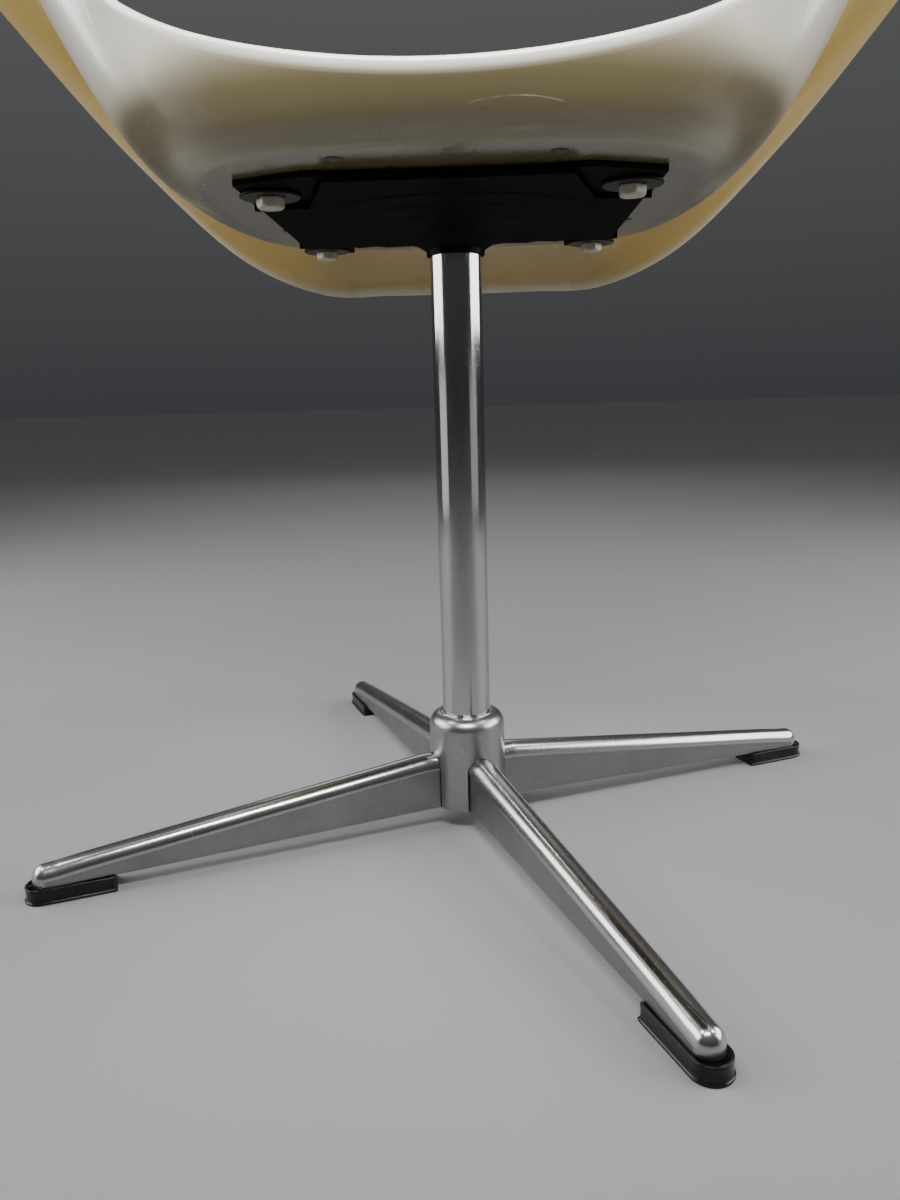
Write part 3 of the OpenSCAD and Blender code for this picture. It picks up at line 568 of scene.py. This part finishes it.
def wool():
    """Ochre cloth in plain weave, a little uneven, with darker fibres and pale flecks."""
    n = Nodes("upholstery")
    yarn_pitch, wobble = 0.0021, 0.0012
    sway = n.node("TexNoise", out="Color", Vector=n.place, Scale=90.0, Detail=2.0)
    sway = n.node("VectorMath", props={"operation": "SCALE"}, i0=sway, Scale=wobble)
    spot = n.node("VectorMath", props={"operation": "ADD"}, i0=n.place, i1=sway)
    x, y, z = (n.axis(letter, spot) for letter in "XYZ")
    turns = 2 * math.pi / yarn_pitch
    u = n.math("SINE", n.times(n.plus(x, n.times(z, 0.35)), turns))
    v = n.math("SINE", n.times(n.plus(y, z), turns))
    # plain weave: warp and weft swap which is on top at each crossing
    over = n.times(u, v)
    yarn = n.math("MAXIMUM", n.size(u), n.size(v))
    cloud = n.noise(16.0, 4, 0.6)
    fibres = n.noise(1500.0, 2, 0.8)
    fleck = n.span(n.noise(620.0, 2, 0.7), 0.60, 0.70)
    base = n.mix(n.span(cloud, 0.3, 0.7), (0.43, 0.265, 0.050), (0.36, 0.205, 0.035))
    base = n.mix(n.times(n.span(over, -0.6, 0.8), 0.45), base, (0.62, 0.42, 0.11))
    base = n.mix(n.times(n.span(fibres, 0.35, 0.75), 0.45), base, (0.20, 0.105, 0.018))
    base = n.mix(n.times(fleck, 0.35), base, (0.70, 0.53, 0.24))
    height = n.plus(n.times(over, 0.5), n.plus(n.times(yarn, 0.5), n.times(fibres, 0.7)))
    return n.finish(Base_Color=base, Roughness=n.span(cloud, 0, 1, 0.82, 0.95),
                    Normal=n.bump(height, 0.55, 0.0009), Sheen_Weight=0.35, Sheen_Roughness=0.45,
                    Sheen_Tint=(0.95, 0.80, 0.50), Specular_IOR_Level=0.25)


def pale_floor():
    n = Nodes("pale_floor")
    base = n.mix(n.span(n.noise(3.0), 0.3, 0.7), (0.285, 0.288, 0.292), (0.300, 0.302, 0.304))
    return n.finish(Base_Color=base, Roughness=0.55, Specular_IOR_Level=0.3)


MATERIALS = {
    "ivory": ivory(), "chrome": chrome(), "hub": satin(), "leg": leg_metal(), "glide": black_plastic(),
    "plate": black_paint(), "wool": wool(), "board": plywood(),
    "steel": plain("inner_steel", (0.42, 0.42, 0.41), (0.30, 0.295, 0.28), 0.28, 0.45, metal=1.0),
    "bearing": plain("bearing_steel", (0.62, 0.62, 0.62), (0.52, 0.52, 0.52), 0.10, 0.18,
                     metal=1.0, scale=200.0, strength=0.03),
    "bush": plain("bush_plastic", (0.06, 0.06, 0.06), (0.09, 0.09, 0.088), 0.42, 0.55),
    "washer": plain("washer_steel", (0.006, 0.0065, 0.005), (0.013, 0.013, 0.011), 0.16, 0.24,
                    scale=60.0, strength=0.03, level=0.05),
    "bolt": plain("bolt_heads", (0.50, 0.465, 0.36), (0.38, 0.35, 0.265), 0.32, 0.46,
                  scale=260.0, strength=0.2),
    "stud": plain("stud_plastic", (0.040, 0.038, 0.032), (0.065, 0.060, 0.050), 0.45, 0.60, level=0.3),
}
CAD_MATERIALS = {
    "hub": ["hub_cover"],
    "chrome": ["column"],
    "plate": ["collar", "seat_plate"],
    "board": ["seat_board"],
    "bush": ["lower_bush", "upper_bush"],
    "bearing": ["lower_race", "bearing_balls", "upper_race"],
    "steel": ["hub_sleeve", "hub_floor", "clamp_bolt", "clamp_washer", "column_plug", "spindle",
              "retaining_washer", "retaining_ring", "shell_nuts"],
}
for key, nodes in CAD_MATERIALS.items():
    for name in nodes:
        for material_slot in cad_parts[name].material_slots:
            material_slot.material = MATERIALS[key]


# Shell and studs
def paint_shell(shell, verts, info):
    """Stores how much painted khaki shade, ochre (partly yellowing, partly painted glow) and painted
    highlight each point of the shell has.

    Each fade runs between two angles from the front, two rows of the shell or two heights in mm.
    """
    angle, row, height = np.abs(info[:, 0]), info[:, 1], verts[:, 2]
    outside = info[:, 2] < 0.6
    to_opening = open_low(angle) - row
    front = 1 - smoothstep(30, 75, angle)
    flank = smoothstep(14, 42, angle) * (1 - smoothstep(74, 134, angle))
    behind = smoothstep(84, 124, angle)
    corner = 1 - smoothstep(136, 150, angle)
    top_edge = 1 - smoothstep(2.86, 3.0, row)

    # ochre on the flanks and the front lip: partly yellowing, partly painted glow of light through the
    # plastic and of yellowish reflections
    low_front = (1 - top_edge) * (1 - smoothstep(40, 80, angle))
    flank_warm = 0.92 * smoothstep(1.15, 1.9, row) * flank * (1 - 0.75 * low_front)
    lip_warm = 0.45 * front * top_edge * smoothstep(1.2, 1.8, row)
    store(shell, "yellowing_and_painted_glow", np.maximum(flank_warm, lip_warm) * outside)

    # painted shade: darkens the underside, the back wall up to just below the rim, the front lip and the low
    # front and sides
    under = 0.95 * (1 - smoothstep(1.02, 1.28, row))
    wall = (0.84 + 0.11 * smoothstep(399.5, 406, height) - 0.05 * corner) * behind
    wall = wall * smoothstep(-0.01, 0.07, to_opening)
    wall = wall * (1 - smoothstep(416 + 4 * corner, 456 - 18 * corner, height))
    lip = (0.80 - 0.35 * smoothstep(30, 44, angle)) * front * (1 - 0.4 * (1 - top_edge))
    rest = 0.80 * (1 - behind) * (1 - smoothstep(1.1, 1.9, row))
    store(shell, "shade", np.maximum.reduce([under, wall, lip, rest]) * outside)

    # painted highlight: a pale band along the opening's edge and on the upper back
    rim_highlight = 0.90 * (1 - smoothstep(0.0, 0.05, np.abs(to_opening)))
    shoulder_highlight = 0.6 * smoothstep(428, 452, height) * (1 - smoothstep(465, 560, height)) * outside
    store(shell, "pale", np.maximum(rim_highlight, shoulder_highlight) * behind)


shell_verts, shell_faces, shell_info = shell_mesh()
shell = make("shell_moulding", shell_verts, shell_faces, "seat", "shell_ivory", MATERIALS["ivory"],
             replaces=["shell"])
paint_shell(shell, shell_verts, shell_info)

# Plain studs, whose heads show as small discs, each in a thin ring
STUD_PROFILE = [(0, -0.55), (2.9, -0.55), (3.5, -0.35), (3.8, 0.05), (0, 0.05)]
STUD_RING_R, STUD_RING_DROP, STUD_RING_WIRE = 4.15, 0.02, 0.30
stud_parts = []
for spot in STUDS:
    stud_parts.append(lathe([(r, FLOOR_Z + z) for r, z in STUD_PROFILE], 28, spot))
    ring = arc((STUD_RING_R, FLOOR_Z - STUD_RING_DROP), STUD_RING_WIRE, -180, 0, 6)
    stud_parts.append(lathe(ring + ring[:1], 28, spot))
make("stud_heads", *join(stud_parts), "seat", "stud_plastic", MATERIALS["stud"], replaces=["board_studs"])


# Legs, glides and hub
def leg_mesh():
    """A folded leg along +X, with each point's side value: 1 on the sides and 0 on the ridge.

    A half profile from the open edge to the ridge runs out along one side, round the nose and back.
    """
    nose_x, nose_side, taper_x, wall = 272.5, 0.25, 32.5, 1.8
    root_half, nose_half = 9.2, 8.0
    root_ridge, nose_ridge = 50.5, 21.4
    root_edge, nose_edge = 14.0, 8.5
    notch_x, notch_width, notch_depth = 267.0, 1.2, 0.12
    facet_half, crease_depth = 1.5, 0.55
    stations = np.concatenate([
        [19.7, 24.0, 27.5, 30.5, 32.0, 33.2, 34.5, 36.5, 39, 43, 48],
        np.linspace(56, 250, 26),
        [255, 259, 262, 264.5, 266.5, 268.5, 270.5, nose_x]])

    def profile(x, inner):
        """(across, z, side) from the open edge to the ridge."""
        share = np.clip((x - taper_x) / (nose_x - taper_x), 0, 1)
        half = root_half + (nose_half - root_half) * share
        ridge = root_ridge + (nose_ridge - root_ridge) * share
        ridge = ridge - notch_depth * np.exp(-((x - notch_x) / notch_width) ** 2)
        edge = root_edge + (nose_edge - root_edge) * share
        facet = facet_half * (1 - smoothstep(250.0, 268.0, x))
        inset = crease_depth * (1 - smoothstep(225, 266, x))
        if inner:
            half, ridge, facet, inset = half - wall, ridge - wall, 0.0, 0.0
        knee = ridge - half
        points = []
        for back, up in ((0.5, 0.0), (0.12, 0.12), (0.0, 0.5)):
            points.append((half - inset - (0.0 if inner else back), edge + up, 1))
        for up in (0.2, 0.4, 0.6, 0.8, 0.93):
            points.append((half - inset, edge + 0.5 + (knee - 1.2 - edge) * up, 1))
        points += [
            (half - inset, knee - 0.55, 1),
            (half - inset, knee - 0.25, 1),
            (half - inset * 0.45, knee - 0.08, 0.6),
            (half, knee + 0.15, 0)]
        rise = half - 0.15 - 0.10 * (facet > 0)
        for turn in np.radians([6, 14, 24, 35, 46, 57, 67, 76, 83]):
            across = facet + (half - facet) * math.cos(turn)
            points.append((across, knee + 0.15 + rise * math.sin(turn), 0))
        points += [
            (facet + 0.10, ridge - 0.06, 0),
            (facet * 0.93, ridge, 0),
            (facet * 0.5, ridge, 0),
            (0, ridge, 0)]
        return np.array(points)

    def skin(inner):
        rows = [(x, 0.0, 1.0, 1.0) for x in stations]
        for turn in np.radians(np.linspace(80, -80, 15)):
            rows.append((nose_x, math.cos(turn), math.sin(turn), nose_side))
        rows += [(x, 0.0, -1.0, 1.0) for x in stations[::-1]]
        verts, sides = [], []
        for x, out, across, most in rows:
            p = profile(x, inner)
            verts.append(np.stack([x + p[:, 0] * out, p[:, 0] * across, p[:, 1]], -1))
            sides.append(np.minimum(p[:, 2], most))
        return np.concatenate(verts), np.concatenate(sides), len(rows), len(verts[0])

    outer, outer_side, rows, cols = skin(False)
    inner, inner_side, rows, cols = skin(True)
    gap, last = len(outer), (rows - 1) * cols
    faces = grid_faces(rows, cols, flip=True) + grid_faces(rows, cols, start=gap)
    for i in range(0, last, cols):
        faces.append((i, i + cols, gap + i + cols, gap + i))
    for j in range(cols - 1):
        k = last + j
        faces.append((j, gap + j, gap + j + 1, j + 1))
        faces.append((k, k + 1, gap + k + 1, gap + k))
    return merge(np.concatenate([outer, inner]), faces, 1e-3, np.concatenate([outer_side, inner_side]))


def glide_mesh():
    """A long shoe: round outer end, squared inner end, a flange at the floor and a thin lip at the top."""
    round_x, round_r, inner_x, corner = 275.0, 10.0, 234.0, 1.6
    # from the floor up: how far the outline is grown, and its height
    levels = [
        (-3.0, 0.0), (0.35, 0.0), (0.62, 0.15), (0.7, 0.5), (0.7, 1.2), (0.55, 1.42), (0.15, 1.6),
        (-0.08, 1.95), (-0.2, 4.2), (-0.2, 7.2), (-0.06, 7.8), (0.0, 8.2), (0.0, 9.0), (-0.12, 9.3),
        (-0.4, 9.45), (-1.15, 9.45), (-1.45, 9.25), (-1.55, 8.5)]

    def plan(grow):
        """The outline from above, grown by some millimetres."""
        half, back = round_r + grow, inner_x - grow
        corner_x, corner_y = back + corner, half - corner
        points = arc((round_x, 0), half, -90, 90, 29)
        points += [(x, half) for x in np.linspace(round_x, corner_x, 8)[1:]]
        points += arc((corner_x, corner_y), corner, 90, 180, 6)[1:]
        points += [(back, y) for y in np.linspace(corner_y, -corner_y, 8)[1:]]
        points += arc((corner_x, -corner_y), corner, 180, 270, 6)[1:]
        points += [(x, -half) for x in np.linspace(corner_x, round_x, 8)[1:-1]]
        return points

    rings = [[(x, y, z) for x, y in plan(grow)] for grow, z in levels]
    count, last = len(rings[0]), (len(rings) - 1) * len(rings[0])
    faces = grid_faces(len(rings), count, wrap_cols=True, flip=True)
    faces.append(tuple(range(count - 1, -1, -1)))
    faces.append(tuple(range(last, last + count)))
    return np.concatenate(rings), faces


def slot_gap_shadow(turn):
    """A black line round the arched slot in the hub where a leg goes in, a painted shadow of the gap between
    slot and leg.
    """
    hub_r, sunk, wire = 25.5, 0.12, 0.34
    half, foot_z, knee_z = 9.35, 14.5, 41.3
    path = [(half, z) for z in np.linspace(foot_z, knee_z, 14)]
    path += arc((0, knee_z), half, 0, 180, 31)[1:-1]
    path += [(-half, z) for z in np.linspace(knee_z, foot_z, 14)]
    points = np.array([(math.sqrt(hub_r ** 2 - y * y) - sunk, y, z) for y, z in path])
    out = turned(np.array([1.0, 0.0, 0.0]), turn)
    return tube(turned(points, turn), wire, 8, closed=False, up=out)


leg_verts, leg_faces, leg_side = leg_mesh()
glide_verts, glide_faces = glide_mesh()
slot_shadows = []
for number, place in enumerate(LEGS):
    turn = BASE_TURN + 90 * number
    leg = make("folded_leg_" + place, turned(leg_verts, turn), leg_faces, "base", "leg_metal",
               MATERIALS["leg"], replaces=["leg_" + place])
    store(leg, "side", leg_side)
    make("shoe_" + place, turned(glide_verts, turn), glide_faces, "base", "glide_plastic",
         MATERIALS["glide"], replaces=["glide_" + place])
    slot_shadows.append(slot_gap_shadow(turn))
# painted shadow: thin black tubes in the gaps round the legs' slots
make("hub_slot_shadows", *join(slot_shadows), "base", "glide_plastic", MATERIALS["glide"])

# Thin rolled rim round the column's hole in the hub, as (radius, z)
HUB_RIM = [(16.15, 76.6), (18.4, 77.6), (18.2, 78.02), (17.6, 78.4), (17.0, 78.55), (16.5, 78.35),
           (16.2, 77.8), (16.15, 76.6)]
make("hub_rim", *lathe(HUB_RIM, 96), "base", "hub_metal", MATERIALS["chrome"])

# Washers and bolts under the plate's four lugs
BOLT_X, BOLT_Y = 93.7, 90.9
WASHER_PROFILE = [(4.3, 391.8), (4.3, 390.4), (4.6, 390.05), (5.2, 389.98), (12.0, 389.98), (14.6, 390.05)]
WASHER_PROFILE += arc((14.9, 391.0), 1.0, -85, 85, 9)
WASHER_PROFILE += [(14.4, 391.98), (4.6, 391.98), (4.3, 391.8)]


def hex_head(centre, turn):
    """A hexagon head with turned-down corners and a shallow dish, head down, on the washer."""
    across, most_corner, low_z, high_z, sides = 13.0, 1.13, 384.7, 390.0, 96
    dish_r, dish_z = 3.9, low_z + 0.45
    angle = np.arange(sides) / sides * 2 * np.pi
    from_flat = (np.degrees(angle) + turn) % 60 - 30
    hexagon = np.minimum(across / 2 / np.cos(np.radians(from_flat)), across / 2 * most_corner)
    # the radius that turning leaves at each height
    limits = [
        (low_z, 4.4), (low_z, 5.5), (low_z + 0.12, 6.15), (low_z + 0.5, 6.6), (low_z + 1.1, 7.0),
        (low_z + 1.8, 7.25), (low_z + 2.6, 7.45), (high_z - 0.6, 7.5), (high_z, 7.5)]
    rows = [(0.0, dish_z), (dish_r, dish_z)]
    rows += [(np.minimum(hexagon, limit), z) for z, limit in limits]
    rows.append((0.0, high_z))
    verts = [np.stack([
        centre[0] + r * np.cos(angle),
        centre[1] + r * np.sin(angle),
        np.full(sides, z)], -1) for r, z in rows]
    return merge(np.concatenate(verts), grid_faces(len(rows), sides, wrap_cols=True, flip=True))


washers, bolts = [], []
for sign_x, sign_y, turn in ((-1, -1, 15), (1, -1, 40), (-1, 1, 27), (1, 1, 52)):
    spot = (sign_x * BOLT_X, sign_y * BOLT_Y)
    washers.append(lathe(WASHER_PROFILE, 72, spot))
    bolts.append(hex_head(spot, turn))
make("large_washers", *join(washers), "seat", "washer_steel", MATERIALS["washer"],
     replaces=["plate_washers"])
make("hex_bolts", *join(bolts), "seat", "bolt_heads", MATERIALS["bolt"], replaces=["plate_bolts"])

# Upholstery, in metres where it isn't said otherwise
PRESSURE = 4.0
CLOTH_FRAMES = 20
MOST_MOVE = 0.024
PIN_REACH = 0.0055
ROOM_SOFTNESS = 0.0022
SEAM_PULL, SEAM_REACH = 0.0022, 0.0050
CLOTH_SETTINGS = {
    "quality": 6, "mass": 0.25, "tension_stiffness": 12, "compression_stiffness": 12,
    "shear_stiffness": 6, "bending_stiffness": 0.3, "use_pressure": True,
    "uniform_pressure_force": PRESSURE, "vertex_group_mass": "pin", "shrink_min": -0.06,
}


def apply_modifiers(piece):
    """Gives the object its mesh with the modifiers applied."""
    depsgraph = bpy.context.evaluated_depsgraph_get()
    mesh = bpy.data.meshes.new_from_object(piece.evaluated_get(depsgraph))
    piece.modifiers.clear()
    old = piece.data
    piece.data = mesh
    bpy.data.meshes.remove(old)


def read_points(mesh, key="co"):
    """The points' places, or their normals."""
    values = np.empty(len(mesh.vertices) * 3)
    mesh.vertices.foreach_get(key, values)
    return values.reshape(-1, 3)


def write_points(mesh, points):
    mesh.vertices.foreach_set("co", points.reshape(-1))
    mesh.update()


def surface_of(piece):
    points = [vertex.co.copy() for vertex in piece.data.vertices]
    return BVHTree.FromPolygons(points, [tuple(face.vertices) for face in piece.data.polygons])


def distance_to(points, line):
    return np.sqrt(((points[:, None] - line[None]) ** 2).sum(-1)).min(1)


def remeshed(node, name, voxel):
    """An even copy of a CAD node's mesh, as an object of its own."""
    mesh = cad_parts[node].data.copy()
    mesh.name = name
    mesh.materials.clear()
    piece = bpy.data.objects.new(name, mesh)
    bpy.context.scene.collection.objects.link(piece)
    remesh = piece.modifiers.new("remesh", "REMESH")
    remesh.mode = "VOXEL"
    remesh.voxel_size = voxel
    remesh.use_smooth_shade = True
    apply_modifiers(piece)
    return piece


def blown_up(piece, start, pinned):
    """Where the points are after the cloth simulation, no further from their start than the cap."""
    group = piece.vertex_groups.new(name="pin")
    group.add([int(i) for i in np.nonzero(pinned)[0]], 1.0, "REPLACE")
    cloth = piece.modifiers.new("cloth", "CLOTH")
    for key, value in CLOTH_SETTINGS.items():
        setattr(cloth.settings, key, value)
    cloth.settings.effector_weights.gravity = 0
    cloth.collision_settings.use_self_collision = False
    for number in range(1, CLOTH_FRAMES + 1):
        bpy.context.scene.frame_set(number)
    apply_modifiers(piece)
    bpy.context.scene.frame_set(1)
    move = read_points(piece.data) - start
    far = np.linalg.norm(move, axis=1)
    return start + move * np.minimum(1, MOST_MOVE / np.maximum(far, 1e-9))[:, None]


def kept_in_room(points, solid, facing, proud, rear_drop):
    """Eases the points back into the CAD solid's room, but for its face, which may stand proud.

    The rear of its top stays lower by rear_drop, out of the opening's sight.
    """
    kept = points.copy()
    for i, point in enumerate(points):
        nearest, normal, _, _ = solid.find_nearest(Vector(point))
        past = (Vector(point) - nearest).dot(normal)
        on_face = float(smoothstep(0.35, 0.8, max(0.0, normal.dot(facing))))
        on_top = float(smoothstep(0.2, 0.8, normal.z))
        at_rear = float(smoothstep(-0.05, 0.10, point[1]))
        allowed = proud * on_face - rear_drop * at_rear * on_top
        if past - allowed > -4 * ROOM_SOFTNESS:
            ease = math.log1p(math.exp(min(30.0, (allowed - past) / ROOM_SOFTNESS)))
            kept[i] = np.array(nearest + normal * (allowed - ROOM_SOFTNESS * ease))
    return kept


def cushion(node, name, welt, voxel, shrink, facing, proud, rear_drop=0.0):
    """A slightly smaller copy of the CAD solid, swollen as sewn cloth that is held at its welt."""
    solid = surface_of(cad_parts[node])
    piece = remeshed(node, name, voxel)
    points = read_points(piece.data) - read_points(piece.data, "normal") * shrink
    write_points(piece.data, points)
    seam = np.asarray(welt)[::2] * MM
    points = blown_up(piece, points, distance_to(points, seam) < PIN_REACH + shrink)
    write_points(piece.data, kept_in_room(points, solid, Vector(facing), proud, rear_drop))
    subdivision = piece.modifiers.new("subdivision", "SUBSURF")
    subdivision.levels = subdivision.render_levels = 1
    apply_modifiers(piece)
    # the seam pulls the cloth in beside the welt
    points, normals = read_points(piece.data), read_points(piece.data, "normal")
    normals = normals / np.maximum(np.linalg.norm(normals, axis=1)[:, None], 1e-9)
    pull = SEAM_PULL * np.exp(-(distance_to(points, seam) / SEAM_REACH) ** 2)
    write_points(piece.data, points - normals * pull[:, None])
    smooth(piece.data)
    return piece


def on_cover(cover, path, lift):
    """Lays a welt's line on the finished cover and evens it out."""
    surface = surface_of(cover)
    points = np.array([surface.find_nearest(Vector(point * MM))[0] for point in path]) / MM
    middle = points.mean(0)
    out = points - middle
    points = middle + out * (1 + lift / np.linalg.norm(out, axis=1))[:, None]
    for _ in range(4):
        points = 0.5 * points + 0.25 * (np.roll(points, 1, 0) + np.roll(points, -1, 0))
    return points


def seat_welt():
    """The welt of the seat cushion, in mm, where its sides meet the top."""
    side_gap, board_gap, drawn_in, side_share = 1.5, 0.3, 0.985, 0.93
    angle = signed(np.arange(0, 360, 1.5))
    row = 1 + 2 * along(CUSHION_ROW, angle)
    line = shell_inside(angle, row, np.full(len(angle), SHELL_WALL + side_gap))
    line[:, 2] = np.maximum(line[:, 2], FLOOR_Z + SHELL_WALL + BOARD_T + board_gap)
    line[:, :2] *= drawn_in
    line[:, 2] += CROWN_RISE * along(CUSHION_SIDE, angle) * side_share
    return line


def pad_welt():
    """The welt of the back pad, in mm: a rounded oblong on the inside of the backrest."""
    share, gap, edge_share = 0.99, 0.9, 0.8
    turn = np.linspace(0, 2 * np.pi, 160, endpoint=False)
    across, up = (np.sign(wave) * np.abs(wave) ** (2 / PAD_POWER) for wave in (np.cos(turn), np.sin(turn)))
    angle = signed(180 - PAD_ANGLE * share * across)
    depth = np.full(len(turn), SHELL_WALL + gap + PAD_EDGE_T * edge_share)
    return shell_inside(angle, PAD_ROW + PAD_ROWS * share * up, depth)


COVERS = [
    ("seat_cushion", seat_welt(), 0.6, 2.4,
     {"voxel": 0.0055, "shrink": 0.003, "facing": (0, 0, 1), "proud": 0.0015, "rear_drop": 0.0045}),
    ("back_pad", pad_welt(), 0.4, 2.2,
     {"voxel": 0.005, "shrink": 0.0025, "facing": (0, -1, 0), "proud": 0.005}),
]
for node, welt, lift, welt_r, settings in COVERS:
    cover = cushion(node, node + "_cover", welt, **settings)
    finish_piece(cover, "seat", MATERIALS["wool"], [node])
    piping = make(node + "_welt", *tube(on_cover(cover, welt, lift), welt_r, 12), "seat", "upholstery",
                  MATERIALS["wool"])

# Floor
FLOOR_HALF = 40.0
floor_mesh = bpy.data.meshes.new("floor")
floor_corners = [(x * FLOOR_HALF, y * FLOOR_HALF, 0) for x, y in ((-1, -1), (1, -1), (1, 1), (-1, 1))]
floor_mesh.from_pydata(floor_corners, [], [(0, 1, 2, 3)])
floor_mesh.materials.append(pale_floor())
floor = bpy.data.objects.new("floor", floor_mesh)
bpy.context.scene.collection.objects.link(floor)

# World: a plain grey studio, lighter towards the top
SKY_LOW, SKY_MIDDLE, SKY_TOP = (0.045, 0.047, 0.051, 1), (0.085, 0.087, 0.09, 1), (0.20, 0.20, 0.205, 1)
world = bpy.data.worlds.new("studio")
bpy.context.scene.world = world
world.use_nodes = True
sky = world.node_tree
sky.nodes.clear()
kinds = ["TexCoord", "SeparateXYZ", "ValToRGB", "Background", "OutputWorld"]
direction, split, ramp, background, output = (sky.nodes.new("ShaderNode" + kind) for kind in kinds)
sky.links.new(direction.outputs["Generated"], split.inputs[0])
sky.links.new(split.outputs["Z"], ramp.inputs[0])
sky.links.new(ramp.outputs[0], background.inputs[0])
sky.links.new(background.outputs[0], output.inputs[0])
stops = ramp.color_ramp.elements
for number, place, colour in ((0, 0.0, SKY_LOW), (1, 0.9, SKY_TOP)):
    stops[number].position = place
    stops[number].color = colour
stops.new(0.30).color = SKY_MIDDLE
background.inputs[1].default_value = 1.0

# Lights: name, place, target, width and height in metres, watts and spread in degrees
LIGHTS = [
    ("key_left", (1.25, 0.1, 2.2), (0, 0, 0.2), (0.45, 0.45), 13, 180),
    ("key_right", (-1.25, 0.1, 2.2), (0, 0, 0.2), (0.45, 0.45), 11, 180),
    ("side_left", (1.45, -0.05, 0.85), (0, 0.05, 0.45), (1.5, 0.85), 24, 180),
    ("side_right", (-1.45, -0.05, 0.85), (0, 0.05, 0.45), (1.5, 0.85), 26, 180),
    ("low_left", (1.4, 0.28, 0.19), (0, 0.05, 0.19), (1.0, 0.30), 0.8, 180),
    ("low_right", (-1.4, 0.55, 0.19), (0, 0.05, 0.19), (1.0, 0.30), 0.4, 180),
    ("rim_top", (0.0, 0.42, 0.66), (0.0, 0.19, 0.43), (0.34, 0.08), 1.6, 100),
    ("front_fill", (0.3, -2.8, 1.6), (0, 0, 0.5), (1.8, 1.0), 6, 180),
]
for name, place, target, size, watts, spread in LIGHTS:
    light = bpy.data.lights.new(name, "AREA")
    light.shape = "RECTANGLE"
    light.size, light.size_y = size
    light.energy = watts
    light.spread = math.radians(spread)
    lamp = bpy.data.objects.new(name, light)
    bpy.context.scene.collection.objects.link(lamp)
    lamp.location = place
    lamp.rotation_euler = (Vector(target) - Vector(place)).to_track_quat("-Z", "Y").to_euler()

# Camera, as solved from the photo
CAMERA_PLACE = (-0.0133, 0.6022, 0.2849)
VIEW_AHEAD = (0.0367, -0.9768, -0.2112)
VIEW_RIGHT = (-0.9991, -0.0318, -0.0267)
LENS_MM, SENSOR_MM = 27.72, 36.0
ahead = Vector(VIEW_AHEAD).normalized()
right = Vector(VIEW_RIGHT)
right = (right - ahead * right.dot(ahead)).normalized()
up = right.cross(ahead)
lens = bpy.data.cameras.new("camera")
lens.lens = LENS_MM
lens.sensor_width = SENSOR_MM
lens.clip_start, lens.clip_end = 0.02, 100
camera = bpy.data.objects.new("camera", lens)
bpy.context.scene.collection.objects.link(camera)
facing = Matrix((right, up, -ahead)).transposed()
camera.matrix_world = Matrix.Translation(CAMERA_PLACE) @ facing.to_4x4()
bpy.context.scene.camera = camera
